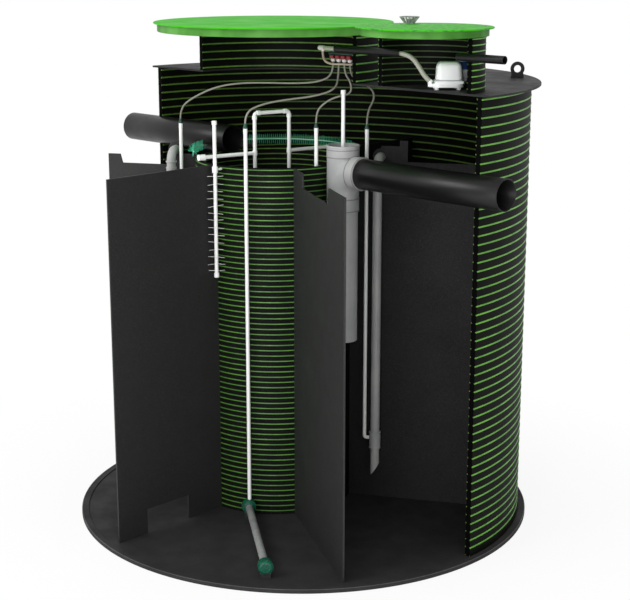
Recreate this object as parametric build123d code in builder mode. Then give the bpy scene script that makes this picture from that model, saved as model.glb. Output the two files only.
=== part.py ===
"""Packaged sewage treatment plant, shown as a cutaway: the near half of the round tank wall, of the
deck and of the two access necks is left off, so that the chambers, pipes and blower show."""

from build123d import *
from math import acos, cos, radians, sin, sqrt, tan
import os

os.makedirs("parts", exist_ok=True)

# Frame: millimetres, +Z up, origin at the centre of the base's underside.
# X runs along the cut plane from the inlet to the outlet, Y points into the half that is kept.

# Tank shell
base_radius = 1250
base_thickness = 20
brim_step = 5
brim_inner_radius = 1212
wall_outer_radius = 1206
wall_thickness = 30
wall_segments = 3
deck_radius = 1256
deck_top = 2378
deck_thickness = 10
deck_edge_round = 3
floor = base_thickness - brim_step
wall_inner_radius = wall_outer_radius - wall_thickness
deck_bottom = deck_top - deck_thickness

# Access necks and lids
reactor_x = -221
large_neck_outer_radius = 610
small_neck_x = 840
small_neck_outer_radius = 300
neck_wall = 28
large_neck_height = 284
small_neck_height = 287
lid_thickness = 10
lid_lip = 8
lid_skirt_height = 50
lid_skirt_wall = 12
lid_skirt_gap = 3
large_lid_overhang = 35
small_lid_overhang = 40
lid_edge_round = 3

# Reactor cylinder and the partitions that stand round it
reactor_outer_radius = 431
reactor_wall = 26
reactor_top = 1938
reactor_segments = 2
plate_thickness = 10
plate_top = 1938
front_plate_top = 1945
plate_end_gap = 2
plate_inner_gap = 0.2
notch_start = 612
notch_end = 1075
notch_depth = 80
notch_slope = 12
notch_round = 15
left_plate_top = 1925
left_notch_depth = 50
left_tab_width = 74
left_tab_slope = 13
baffle_end = 746
baffle_top = 2052
baffle_tab_width = 45
baffle_step = 31
transfer_window_start = 675
transfer_window_end = 962
transfer_window_top = 150

# Sewer pipes
sewer_pipe_radius = 80
sewer_pipe_wall = 5
sewer_fit_gap = 0.3
inlet_start = -1450
inlet_end = -560
inlet_height = 2005
outlet_end = 1366
outlet_height = 1915
wall_collar_rise = 4
wall_collar_length = 8
tee_x = 297
tee_body_radius = 85
tee_socket_wall = 6
tee_top = 2055
tee_top_socket = 62
tee_bottom = 1705
tee_bottom_socket = 70
tee_branch_reach = 143
tee_branch_socket = 60
tee_sweep_radius = 110
tee_taper = 3
tee_sweep_step = 1
tee_bead = 3
tee_bead_height = 12
drop_pipe_bottom = 1000
riser_top = 2340
riser_bottom = 1650
riser_bar = 8
riser_cap_height = 22

# Air lifts
lift_radius = 25
lift_wall = 2
lift_offset = 85
lift_side = 30
lift_reach_right = 598
lift_reach_left = 571
lift_axis_height = 1962
lift_bend_radius = 55
lift_elbow_end = 30
lift_socket_wall = 3
lift_socket_height = 30
lift_socket_top = 1870
lift_foot_high = 248
lift_foot_low = 175
lift_fitting_bottom = 336
lift_fitting_top = 427
lift_air_spacing = 60
lift_hole_gap = 0.3
plate_boss_wall = 20

# Air pipes of 20 mm
air_pipe_radius = 10
air_joint_height = 392
lift_air_top = 2120
air_bend_radius = 12
air_seat_gap = 0.2
diffuser_air_x = -2
diffuser_air_y = -418
diffuser_air_top = 2152
reactor_air_x = 159
reactor_air_y = -60
reactor_air_top = 2138
cap_radius = 13
cap_overlap = 14
cap_rise = 25
cap_gap = 0.2

# Loop of pipe over the reactor
loop_x = -187
loop_y = -179
loop_bearing = 76.7
loop_span = 215
loop_height = 1982
loop_top = 2196
loop_bend_radius = 14
loop_left_reach = 305
loop_right_reach = 330
loop_bulb_radius = 16
loop_bulb_length = 38
loop_elbow_reach = 34

# Finned pipe in front of the reactor
fin_pipe_x = -175
fin_pipe_y = -478
fin_pipe_top = 2182
fin_pipe_bottom = 1346
fin_count = 14
fin_top = 1888
fin_pitch = 39
fin_reach = 44
fin_radius = 1.6
fin_coupling_top = 1938
fin_coupling_height = 26
fin_coupling_radius = 14

# Diffuser on the floor
diffuser_height = 75
diffuser_far_x = -2
diffuser_far_y = -424
diffuser_near_x = 634
diffuser_near_y = -904
diffuser_radius = 20
diffuser_cap_radius = 38
diffuser_cap_length = 62
diffuser_cap_round = 12
diffuser_rib_count = 3
diffuser_rib_depth = 4
diffuser_rib_width = 8
diffuser_foot_length = 40
diffuser_foot_width = 50

# Brush ring on the reactor's rim
brush_ring_radius = 446
brush_radius = 30
brush_lift = 0.3
brush_back_start = 60
brush_back_end = 165
brush_left_start = 200
brush_left_end = 236

# Valve manifold, ducts and blower
manifold_height = 2522
manifold_y = 26
manifold_start = 172
manifold_radius = 9
manifold_plate_thickness = 5
manifold_flange_radius = 16
valve_count = 4
valve_start = 199
valve_pitch = 40
valve_radius = 9
valve_drop = 20
valve_nozzle_radius = 7
valve_nozzle_drop = 35
feed_elbow_start = 118
feed_elbow_end = 160
feed_elbow_radius = 13
feed_elbow_round = 8
feed_nipple_x = 148
feed_nipple_radius = 7.5
feed_nipple_bottom = 2532
feed_flange_y = 12
feed_flange_height = 2472
feed_flange_radius = 10
duct_radius = 20
duct_wall = 3
duct_start = 243
duct_end = 690
duct_rise = 171
duct_gap = 0.3
cable_duct_start = 1052
cable_duct_end = 1333
duct_height = deck_top + duct_rise
blower_x = 905
blower_y = 120
blower_bearing = 45
blower_length = 158
blower_depth = 104
blower_height = 128
blower_base_length = 178
blower_base_depth = 116
blower_base_height = 18
blower_foot_height = 12
blower_foot_radius = 11
blower_round = 26
blower_taper = 4
blower_base_round = 38
blower_foot_spread_x = 130
blower_foot_spread_y = 76
blower_nozzle_end = (836, 50, 2417)
blower_hose_lead = (812, 36, 2444)
blower_nozzle_radius = 13.5
blower_nozzle_reach = 13
blower_port_radius = 17
blower_filter_length = 84
blower_filter_depth = 60
blower_filter_height = 118
blower_filter_offset = 32
hose_radius = 5
blower_hose_radius = 12
feed_hose_radius = 6
vent_x = 640
vent_y = 118
vent_height = 48
vent_bottom_radius = 27
vent_top_radius = 51
vent_wall = 4
vent_slots = 16
vent_slot_depth = 48
vent_slot_width = 6
eye_ring_radius = 38
eye_hole_radius = 19.5
eye_thickness = 12
eye_centre_height = 47
eye_foot_length = 72
eye_foot_angle = 80
eye_radius_on_deck = 1156
eye_bearings = (48.9, 131.1)


def point_at(radius, bearing):
    """Give the plan point at a radius and a bearing in degrees."""
    return (radius * cos(radians(bearing)), radius * sin(radians(bearing)))


def ring_sector(inner, outer, start, sweep):
    """Draw a sector of a flat ring in the current sketch."""
    stop = start + sweep
    with BuildLine() as outline:
        CenterArc((0, 0), inner, start, sweep)
        CenterArc((0, 0), outer, start, sweep)
        Line(point_at(inner, start), point_at(outer, start))
        Line(point_at(inner, stop), point_at(outer, stop))
    make_face(outline.edges())


def upright_plane(x, y, bearing=0):
    """Give a vertical plane through (x, y, 0) whose own X points along the bearing."""
    turn = radians(bearing)
    return Plane(origin=(x, y, 0), x_dir=(cos(turn), sin(turn), 0), z_dir=(sin(turn), -cos(turn), 0))


def save(part, name):
    """Label a finished piece and write it to its own file."""
    part.label = name
    export_step(part, f"parts/{name}.step")


# Base: a round floor with a raised brim outside the wall
with BuildPart() as base_plate:
    with BuildSketch():
        Circle(base_radius)
    extrude(amount=base_thickness)
    with BuildSketch(Plane.XY.offset(floor)):
        Circle(brim_inner_radius)
    extrude(amount=brim_step, mode=Mode.SUBTRACT)
save(base_plate.part, "base_plate")

# Tank wall: the kept half in equal segments, notched round the two sewer pipes at the cut
segment_sweep = 180 / wall_segments
for segment in range(wall_segments):
    with BuildPart() as tank_wall:
        with BuildSketch(Plane.XY.offset(floor)):
            ring_sector(wall_inner_radius, wall_outer_radius, segment * segment_sweep, segment_sweep)
        extrude(amount=deck_bottom - floor)
        with BuildSketch(Plane.YZ.offset(-base_radius)):
            with Locations((0, inlet_height)):
                Circle(sewer_pipe_radius + sewer_fit_gap)
        extrude(amount=base_radius, mode=Mode.SUBTRACT)
        with BuildSketch(Plane.YZ):
            with Locations((0, outlet_height)):
                Circle(sewer_pipe_radius + sewer_fit_gap)
        extrude(amount=base_radius, mode=Mode.SUBTRACT)
    save(tank_wall.part, f"tank_wall_{segment + 1}")

# Deck: the kept half, open inside the large neck and closed under the small one
large_neck_inner_radius = large_neck_outer_radius - neck_wall
small_neck_inner_radius = small_neck_outer_radius - neck_wall
with BuildPart() as deck_plate:
    with BuildSketch(Plane.XY.offset(deck_bottom)):
        Circle(deck_radius)
        with Locations((reactor_x, 0)):
            Circle(large_neck_inner_radius, mode=Mode.SUBTRACT)
        with Locations((0, deck_radius)):
            Rectangle(2 * deck_radius, 2 * deck_radius, mode=Mode.INTERSECT)
    extrude(amount=deck_thickness)
    rim = deck_plate.faces().sort_by(Axis.Z)[-1].edges().filter_by(GeomType.CIRCLE).sort_by(SortBy.RADIUS)[-1]
    fillet(rim, radius=deck_edge_round)
save(deck_plate.part, "deck_plate")

# Lifting eyes: upright plates over the tank wall, one each side
with BuildPart() as lifting_eyes:
    for bearing in eye_bearings:
        foot_x, foot_y = point_at(eye_radius_on_deck, bearing)
        with BuildSketch(upright_plane(foot_x, foot_y, bearing)):
            with Locations((0, deck_top + eye_centre_height)):
                Circle(eye_ring_radius)
            with Locations((0, deck_top + eye_centre_height / 2)):
                Trapezoid(eye_foot_length, eye_centre_height, eye_foot_angle)
            with Locations((0, deck_top + eye_centre_height)):
                Circle(eye_hole_radius, mode=Mode.SUBTRACT)
        extrude(amount=eye_thickness / 2, both=True)
save(lifting_eyes.part, "lifting_eyes")


def neck(centre_x, inner_radius, outer_radius, height):
    """Make the kept half of an access neck, notched round the ducts that lie on the cut plane."""
    with BuildPart() as shell:
        with BuildSketch(Plane(origin=(centre_x, 0, deck_top))):
            ring_sector(inner_radius, outer_radius, 0, 180)
        extrude(amount=height)
        with BuildSketch(Plane.YZ.offset(duct_start)):
            with Locations((0, duct_height)):
                Circle(duct_radius + duct_gap)
        extrude(amount=cable_duct_end - duct_start, mode=Mode.SUBTRACT)
    return shell.part


save(neck(reactor_x, large_neck_inner_radius, large_neck_outer_radius, large_neck_height), "large_neck")
save(neck(small_neck_x, small_neck_inner_radius, small_neck_outer_radius, small_neck_height), "small_neck")


def lid(centre_x, seat_height, neck_radius, overhang):
    """Turn a flat lid with a down-turned edge and a skirt that drops over its neck."""
    skirt_inner = neck_radius + lid_skirt_gap
    skirt_outer = skirt_inner + lid_skirt_wall
    edge = neck_radius + overhang
    with BuildPart() as cover:
        with BuildSketch(upright_plane(centre_x, 0)):
            with BuildLine():
                Polyline(
                    (0, seat_height),
                    (skirt_inner, seat_height),
                    (skirt_inner, seat_height - lid_skirt_height),
                    (skirt_outer, seat_height - lid_skirt_height),
                    (skirt_outer, seat_height),
                    (edge - lid_lip, seat_height),
                    (edge - lid_lip, seat_height - lid_lip),
                    (edge, seat_height - lid_lip),
                    (edge, seat_height + lid_thickness),
                    (0, seat_height + lid_thickness),
                    close=True,
                )
            make_face()
            fillet(vertices().group_by(Axis.Y)[-1].sort_by(Axis.X)[-1], radius=lid_edge_round)
        revolve(axis=Axis((centre_x, 0, 0), (0, 0, 1)))
    return cover.part


large_lid_seat = deck_top + large_neck_height
small_lid_seat = deck_top + small_neck_height
save(lid(reactor_x, large_lid_seat, large_neck_outer_radius, large_lid_overhang), "large_lid")
save(lid(small_neck_x, small_lid_seat, small_neck_outer_radius, small_lid_overhang), "small_lid")

# Vent cowl: an upturned slotted cone on the small lid
with BuildPart() as vent_cowl:
    small_lid_top = small_lid_seat + lid_thickness
    with BuildSketch(upright_plane(vent_x, vent_y)):
        with BuildLine():
            Polyline(
                (0, small_lid_top),
                (vent_bottom_radius, small_lid_top),
                (vent_top_radius, small_lid_top + vent_height),
                (0, small_lid_top + vent_height),
                (0, small_lid_top + vent_height - vent_wall),
                (vent_top_radius - 2 * vent_wall, small_lid_top + vent_height - vent_wall),
                (vent_bottom_radius - vent_wall, small_lid_top + vent_wall),
                (0, small_lid_top + vent_wall),
                close=True,
            )
        make_face()
    revolve(axis=Axis((vent_x, vent_y, 0), (0, 0, 1)))
    with Locations((vent_x, vent_y, small_lid_top + vent_height / 2)):
        with PolarLocations((vent_bottom_radius + vent_top_radius) / 2, vent_slots):
            Box(vent_slot_depth, vent_slot_width, vent_height - 3 * vent_wall, mode=Mode.SUBTRACT)
save(vent_cowl.part, "vent_cowl")

# Reactor cylinder: stands on the floor, in equal segments
reactor_inner_radius = reactor_outer_radius - reactor_wall
reactor_sweep = 360 / reactor_segments
for segment in range(reactor_segments):
    with BuildPart() as reactor_shell:
        with BuildSketch(Plane(origin=(reactor_x, 0, floor))):
            ring_sector(reactor_inner_radius, reactor_outer_radius, segment * reactor_sweep, reactor_sweep)
        extrude(amount=reactor_top - floor)
        with BuildSketch(Plane.YZ.offset(inlet_start)):
            with Locations((0, inlet_height)):
                Circle(sewer_pipe_radius + sewer_fit_gap)
        extrude(amount=inlet_end - inlet_start, mode=Mode.SUBTRACT)
    save(reactor_shell.part, f"reactor_shell_{segment + 1}")


def reach_to_wall(bearing):
    """Measure from the reactor's axis to the inside of the tank wall along a bearing."""
    along = reactor_x * cos(radians(bearing))
    return sqrt(along**2 + wall_inner_radius**2 - reactor_x**2) - along


def plate_outline(bearing, top_points, outer_top=plate_top):
    """Draw a partition from reactor to wall, with points along its top from the wall inwards."""
    inner = reactor_outer_radius + plate_inner_gap
    outer = reach_to_wall(bearing) - plate_end_gap
    with BuildLine() as outline:
        Polyline((inner, floor), (outer, floor), (outer, outer_top), *top_points, close=True)
    make_face(outline.edges())


def lift_boss(reach, mode=Mode.ADD, radius=lift_radius + plate_boss_wall):
    """Draw the round boss or hole in a partition where an air lift passes through."""
    with Locations((reach, lift_axis_height)):
        Circle(radius, mode=mode)


plate_inner = reactor_outer_radius + plate_inner_gap
lift_hole_radius = lift_radius + lift_hole_gap

# Front partition: plain, with a transfer window cut at the floor
with BuildPart() as partition_front:
    with BuildSketch(upright_plane(reactor_x, 0, -90)):
        plate_outline(-90, [(plate_inner, front_plate_top)], front_plate_top)
        window_middle = (transfer_window_start + transfer_window_end) / 2
        with Locations((window_middle, (floor + transfer_window_top) / 2)):
            Rectangle(
                transfer_window_end - transfer_window_start,
                transfer_window_top - floor,
                mode=Mode.SUBTRACT,
            )
    extrude(amount=plate_thickness / 2, both=True)
save(partition_front.part, "partition_front")

# Front right partition: a wide overflow notch with sloping ends
with BuildPart() as partition_front_right:
    with BuildSketch(upright_plane(reactor_x, 0, -30)):
        plate_outline(
            -30,
            [
                (notch_end + notch_slope, plate_top),
                (notch_end, plate_top - notch_depth),
                (notch_start, plate_top - notch_depth),
                (notch_start - notch_slope, plate_top),
                (plate_inner, plate_top),
            ],
        )
        fillet(vertices().group_by(Axis.Y)[1], radius=notch_round)
    extrude(amount=plate_thickness / 2, both=True)
save(partition_front_right.part, "partition_front_right")

# Left partition: a low top between its outer tab and the boss of the left air lift
with BuildPart() as partition_left:
    left_reach = reach_to_wall(-150)
    with BuildSketch(upright_plane(reactor_x, 0, -150)):
        plate_outline(
            -150,
            [
                (left_reach - left_tab_width, left_plate_top),
                (left_reach - left_tab_width - left_tab_slope, left_plate_top - left_notch_depth),
                (lift_reach_left + plate_boss_wall, left_plate_top - left_notch_depth),
                (lift_reach_left, plate_top),
                (plate_inner, plate_top),
            ],
            left_plate_top,
        )
        lift_boss(lift_reach_left)
        lift_boss(lift_reach_left, Mode.SUBTRACT, lift_hole_radius)
    extrude(amount=plate_thickness / 2, both=True)
save(partition_left.part, "partition_left")

# Right partition: a raised baffle beside the boss of the right air lift
with BuildPart() as partition_right:
    with BuildSketch(upright_plane(reactor_x, 0, 30)):
        plate_outline(
            30,
            [
                (baffle_end, plate_top),
                (baffle_end, baffle_top),
                (baffle_end - baffle_tab_width, baffle_top),
                (baffle_end - baffle_tab_width, baffle_top - baffle_step),
                (lift_reach_right, baffle_top - baffle_step),
                (lift_reach_right, plate_top),
                (plate_inner, plate_top),
            ],
        )
        lift_boss(lift_reach_right)
        lift_boss(lift_reach_right, Mode.SUBTRACT, lift_hole_radius)
    extrude(amount=plate_thickness / 2, both=True)
save(partition_right.part, "partition_right")

# Rear partitions: plain plates behind the reactor
for bearing, name in ((90, "partition_rear"), (150, "partition_rear_left")):
    with BuildPart() as partition_plain:
        with BuildSketch(upright_plane(reactor_x, 0, bearing)):
            plate_outline(bearing, [(plate_inner, plate_top)])
        extrude(amount=plate_thickness / 2, both=True)
    save(partition_plain.part, name)


def sewer_pipe(start, end, height, collar_start):
    """Make a straight sewer pipe on the cut plane, open at both ends, with a collar outside the tank."""
    with BuildPart() as pipe:
        with BuildSketch(Plane.YZ.offset(start)):
            with Locations((0, height)):
                Circle(sewer_pipe_radius)
        extrude(amount=end - start)
        with BuildSketch(Plane.YZ.offset(collar_start)):
            with Locations((0, height)):
                Circle(sewer_pipe_radius + wall_collar_rise)
        extrude(amount=wall_collar_length)
        with BuildSketch(Plane.YZ.offset(start)):
            with Locations((0, height)):
                Circle(sewer_pipe_radius - sewer_pipe_wall)
        extrude(amount=end - start, mode=Mode.SUBTRACT)
    return pipe.part


outlet_collar = wall_outer_radius + sewer_fit_gap
inlet_collar = -outlet_collar - wall_collar_length
save(sewer_pipe(inlet_start, inlet_end, inlet_height, inlet_collar), "inlet_pipe")
outlet_start = tee_x + tee_branch_reach - tee_branch_socket
save(sewer_pipe(outlet_start, outlet_end, outlet_height, outlet_collar), "outlet_pipe")

# Outlet tee: a run with a socket each end and a swept branch to the outlet pipe
tee_socket_radius = sewer_pipe_radius + sewer_fit_gap + tee_socket_wall
tee_bore_radius = sewer_pipe_radius - sewer_pipe_wall
tee_branch_stop = tee_x + tee_branch_reach - tee_branch_socket
tee_run_axis = Axis((tee_x, 0, 0), (0, 0, 1))
with BuildPart() as outlet_tee:
    with BuildSketch(upright_plane(tee_x, 0)):
        with BuildLine():
            Polyline(
                (0, tee_bottom),
                (tee_socket_radius, tee_bottom),
                (tee_socket_radius, tee_bottom + tee_bottom_socket),
                (tee_body_radius, tee_bottom + tee_bottom_socket + tee_taper),
                (tee_body_radius, tee_top - tee_top_socket - tee_taper),
                (tee_socket_radius, tee_top - tee_top_socket),
                (tee_socket_radius, tee_top - tee_bead_height),
                (tee_socket_radius + tee_bead, tee_top - tee_bead_height + tee_bead),
                (tee_socket_radius + tee_bead, tee_top - tee_bead),
                (tee_socket_radius, tee_top),
                (0, tee_top),
                close=True,
            )
        make_face()
    revolve(axis=tee_run_axis)
    with BuildLine(Plane.XZ) as throat:
        CenterArc((tee_x + tee_sweep_radius, outlet_height - tee_sweep_radius), tee_sweep_radius, 180, -90)
    with BuildSketch(Plane(origin=(tee_x, 0, outlet_height - tee_sweep_radius))):
        Circle(tee_body_radius - tee_sweep_step)
    sweep(path=throat.wire())
    with BuildSketch(Plane.YZ.offset(tee_branch_stop)):
        with Locations((0, outlet_height)):
            Circle(tee_socket_radius)
    extrude(amount=tee_branch_socket)
    with BuildSketch(Plane.XY.offset(tee_bottom)):
        with Locations((tee_x, 0)):
            Circle(tee_bore_radius)
    extrude(amount=tee_top - tee_bottom, mode=Mode.SUBTRACT)
    with BuildSketch(Plane(origin=(tee_x, 0, outlet_height - tee_sweep_radius))):
        Circle(tee_bore_radius - tee_sweep_step)
    sweep(path=throat.wire(), mode=Mode.SUBTRACT)
    with BuildSketch(Plane.YZ.offset(tee_branch_stop)):
        with Locations((0, outlet_height)):
            Circle(sewer_pipe_radius + sewer_fit_gap)
    extrude(amount=tee_branch_socket, mode=Mode.SUBTRACT)
    with BuildSketch(Plane.XY.offset(tee_bottom)):
        with Locations((tee_x, 0)):
            Circle(sewer_pipe_radius + sewer_fit_gap)
    extrude(amount=tee_bottom_socket, mode=Mode.SUBTRACT)
    with BuildSketch(Plane.XY.offset(tee_top - tee_top_socket)):
        with Locations((tee_x, 0)):
            Circle(sewer_pipe_radius + sewer_fit_gap)
    extrude(amount=tee_top_socket, mode=Mode.SUBTRACT)
save(outlet_tee.part, "outlet_tee")

# Drop pipe: hangs in the lower socket of the tee, up to its stop
with BuildPart() as drop_pipe:
    with BuildSketch(Plane.XY.offset(drop_pipe_bottom)):
        with Locations((tee_x, 0)):
            Circle(sewer_pipe_radius)
            Circle(tee_bore_radius, mode=Mode.SUBTRACT)
    extrude(amount=tee_bottom + tee_bottom_socket - sewer_fit_gap - drop_pipe_bottom)
save(drop_pipe.part, "drop_pipe")


def air_pipe(x, y, bottom, top):
    """Make an upright 20 mm air pipe in the current part."""
    with BuildSketch(Plane(origin=(x, y, bottom))) as section:
        Circle(air_pipe_radius)
    extrude(section.sketch, amount=top - bottom)


def sleeve(x, y, bottom, height, radius):
    """Make an upright round sleeve, cap or coupling in the current part."""
    with BuildSketch(Plane(origin=(x, y, bottom))) as section:
        Circle(radius)
    extrude(section.sketch, amount=height)


# Riser: an air pipe that stands in the tee, with a cap and a hanger bar across the tee's rim
with BuildPart() as tee_riser:
    air_pipe(tee_x, 0, riser_bottom, riser_top)
    sleeve(tee_x, 0, riser_top - riser_cap_height, riser_cap_height, cap_radius)
    with Locations((tee_x, 0, tee_top - tee_top_socket + riser_bar / 2)):
        Box(2 * (sewer_pipe_radius - sewer_fit_gap), riser_bar, riser_bar)
save(tee_riser.part, "tee_riser")


def lift_place(bearing, reach):
    """Give the plan point of an upright air lift pipe beside its partition."""
    turn = radians(bearing)
    side = radians(lift_side)
    x = reactor_x + reach * cos(turn) + lift_offset * sin(side)
    y = reach * sin(turn) - lift_offset * cos(side)
    return x, y


def air_lift(bearing, reach):
    """Make an air lift: a slant-cut suction pipe, a foot fitting and an elbow through the partition."""
    x, y = lift_place(bearing, reach)
    side = radians(lift_side)
    run = lift_offset + lift_elbow_end
    end = (x - run * sin(side), y + run * cos(side), lift_axis_height)
    with BuildPart() as lift:
        with BuildLine() as centre_line:
            FilletPolyline((x, y, lift_foot_low), (x, y, lift_axis_height), end, radius=lift_bend_radius)
        with BuildSketch(Plane(origin=(x, y, lift_foot_low))):
            Circle(lift_radius)
        sweep(path=centre_line.wire())
        fitting_height = lift_fitting_top - lift_fitting_bottom
        sleeve(x, y, lift_fitting_bottom, fitting_height, lift_radius + 2 * lift_socket_wall)
        sleeve(x, y, lift_socket_top - lift_socket_height, lift_socket_height, lift_radius + lift_socket_wall)
        with BuildSketch(Plane(origin=(x, y, lift_foot_low))):
            Circle(lift_radius - lift_wall)
        sweep(path=centre_line.wire(), mode=Mode.SUBTRACT)
        slant = (lift_foot_high - lift_foot_low) / (2 * lift_radius)
        foot = Plane(
            origin=(x, y, (lift_foot_high + lift_foot_low) / 2),
            z_dir=(-slant * sqrt(0.5), -slant * sqrt(0.5), 1),
        )
        split(bisect_by=foot, keep=Keep.TOP)
    return lift.part


def lift_air_pipe(bearing, reach):
    """Make the air pipe that feeds an air lift at its foot fitting."""
    x, y = lift_place(bearing, reach - lift_air_spacing)
    lift_x, lift_y = lift_place(bearing, reach)
    share = 1 - (lift_radius + 2 * lift_socket_wall + air_seat_gap) / lift_air_spacing
    end = (x + share * (lift_x - x), y + share * (lift_y - y), air_joint_height)
    with BuildPart() as pipe:
        with BuildLine() as centre_line:
            FilletPolyline((x, y, lift_air_top), (x, y, air_joint_height), end, radius=air_bend_radius)
        with BuildSketch(Plane(origin=(x, y, lift_air_top), z_dir=(0, 0, -1))):
            Circle(air_pipe_radius)
        sweep(path=centre_line.wire())
    return pipe.part


save(air_lift(30, lift_reach_right), "air_lift_right")
save(air_lift(-150, lift_reach_left), "air_lift_left")
save(lift_air_pipe(30, lift_reach_right), "lift_air_pipe_right")
save(lift_air_pipe(-150, lift_reach_left), "lift_air_pipe_left")

# Diffuser: a porous tube between two ribbed end caps that stand on feet
diffuser_run = (diffuser_near_x - diffuser_far_x, diffuser_near_y - diffuser_far_y)
diffuser_span = sqrt(diffuser_run[0] ** 2 + diffuser_run[1] ** 2)
diffuser_plane = Plane(
    origin=(diffuser_far_x, diffuser_far_y, diffuser_height),
    x_dir=(0, 0, 1),
    z_dir=(diffuser_run[0], diffuser_run[1], 0),
)
with BuildPart() as diffuser_tube:
    with BuildSketch(diffuser_plane.offset(diffuser_cap_length / 2)):
        Circle(diffuser_radius)
    extrude(amount=diffuser_span - diffuser_cap_length)
save(diffuser_tube.part, "diffuser_tube")

rib_pitch = diffuser_cap_length / (diffuser_rib_count + 1)
with BuildPart() as diffuser_caps:
    for place in (-diffuser_cap_length / 2, diffuser_span - diffuser_cap_length / 2):
        with BuildSketch(diffuser_plane.offset(place)):
            Circle(diffuser_cap_radius - diffuser_rib_depth)
        extrude(amount=diffuser_cap_length)
    fillet(diffuser_caps.edges().filter_by(GeomType.CIRCLE), radius=diffuser_cap_round)
    for place in (-diffuser_cap_length / 2, diffuser_span - diffuser_cap_length / 2):
        for rib in range(diffuser_rib_count):
            with BuildSketch(diffuser_plane.offset(place + (rib + 1) * rib_pitch - diffuser_rib_width / 2)):
                Circle(diffuser_cap_radius)
            extrude(amount=diffuser_rib_width)
    for place in (0, diffuser_span):
        with BuildSketch(diffuser_plane.offset(place - diffuser_foot_length / 2)):
            with Locations((-(diffuser_height - floor) / 2, 0)):
                Rectangle(diffuser_height - floor, diffuser_foot_width)
        extrude(amount=diffuser_foot_length)
    sleeve(diffuser_air_x, diffuser_air_y, diffuser_height, diffuser_cap_radius, fin_coupling_radius)
save(diffuser_caps.part, "diffuser_caps")

# Air pipe to the diffuser, air pipe into the reactor, and the loop of pipe over the reactor
with BuildPart() as diffuser_air_pipe:
    air_pipe(diffuser_air_x, diffuser_air_y, diffuser_height + diffuser_cap_radius, diffuser_air_top)
save(diffuser_air_pipe.part, "diffuser_air_pipe")

with BuildPart() as reactor_air_pipe:
    air_pipe(reactor_air_x, reactor_air_y, floor, reactor_air_top)
save(reactor_air_pipe.part, "reactor_air_pipe")


def loop_point(along, height):
    """Give a point in the loop's upright plane, by its distance from the first leg."""
    x, y = point_at(along, loop_bearing)
    return (loop_x + x, loop_y + y, height)


def loop_run(start, length, radius, height=loop_height):
    """Make a level stretch of the loop's pipe in the current part."""
    turn = radians(loop_bearing)
    plane = Plane(origin=loop_point(start, height), x_dir=(0, 0, 1), z_dir=(cos(turn), sin(turn), 0))
    with BuildSketch(plane) as section:
        Circle(radius)
    extrude(section.sketch, amount=length)


elbow_socket = loop_elbow_reach - loop_bend_radius
with BuildPart() as reactor_loop:
    with BuildLine() as loop_line:
        FilletPolyline(
            loop_point(0, floor),
            loop_point(0, loop_top),
            loop_point(loop_span, loop_top),
            loop_point(loop_span, floor),
            radius=loop_bend_radius,
        )
    with BuildSketch(Plane(origin=loop_point(0, floor))):
        Circle(air_pipe_radius)
    sweep(path=loop_line.wire())
    loop_run(-loop_left_reach, loop_left_reach, air_pipe_radius)
    loop_run(loop_span, loop_right_reach, air_pipe_radius)
    loop_run(-loop_left_reach - loop_bulb_length, loop_bulb_length, loop_bulb_radius)
    for leg in (0, loop_span):
        sleeve(*loop_point(leg, 0)[:2], loop_height - fin_coupling_height / 2, fin_coupling_height, cap_radius)
        sleeve(*loop_point(leg, 0)[:2], loop_top - loop_elbow_reach, elbow_socket, cap_radius)
    loop_run(loop_bend_radius, elbow_socket, cap_radius, loop_top)
    loop_run(loop_span - loop_elbow_reach, elbow_socket, cap_radius, loop_top)
save(reactor_loop.part, "reactor_loop")

# Finned pipe: pairs of short rods on an air pipe that hangs from the reactor's rim
with BuildPart() as finned_pipe:
    air_pipe(fin_pipe_x, fin_pipe_y, fin_pipe_bottom, fin_pipe_top)
    fin_coupling_bottom = fin_coupling_top - fin_coupling_height
    sleeve(fin_pipe_x, fin_pipe_y, fin_coupling_bottom, fin_coupling_height, fin_coupling_radius)
    sleeve(fin_pipe_x, fin_pipe_y, fin_pipe_bottom, fin_coupling_height, cap_radius)
    sleeve(fin_pipe_x, fin_pipe_y, fin_pipe_top - riser_cap_height, riser_cap_height, cap_radius)
    for row in range(fin_count):
        fin_level = fin_top - row * fin_pitch
        fin_plane = Plane(origin=(fin_pipe_x, fin_pipe_y, fin_level), x_dir=(0, 0, 1), z_dir=(1, 1, 0))
        with BuildSketch(fin_plane):
            RegularPolygon(fin_radius, 6)
        extrude(amount=fin_reach, both=True)
    fin_arm = sqrt((fin_pipe_x - reactor_x) ** 2 + fin_pipe_y**2) - reactor_outer_radius - plate_inner_gap
    arm_plane = Plane(
        origin=(fin_pipe_x, fin_pipe_y, fin_coupling_top - fin_coupling_height / 2),
        x_dir=(0, 0, 1),
        z_dir=(reactor_x - fin_pipe_x, -fin_pipe_y, 0),
    )
    with BuildSketch(arm_plane):
        Rectangle(fin_coupling_height / 2, fin_coupling_height / 2)
    extrude(amount=fin_arm)
save(finned_pipe.part, "finned_pipe")

# Brush ring: lies on the reactor's rim, open at the inlet pipe and at the front
brush_height = reactor_top + brush_lift + brush_radius
with BuildPart() as brush_ring:
    for start, stop in ((brush_back_start, brush_back_end), (brush_left_start, brush_left_end)):
        with BuildLine() as core_line:
            CenterArc((reactor_x, 0, brush_height), brush_ring_radius, start, stop - start)
        x, y = point_at(brush_ring_radius, start)
        with BuildSketch(Plane(origin=(reactor_x + x, y, brush_height), z_dir=(-y, x, 0))):
            Circle(brush_radius)
        sweep(path=core_line.wire())
save(brush_ring.part, "brush_ring")

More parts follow.
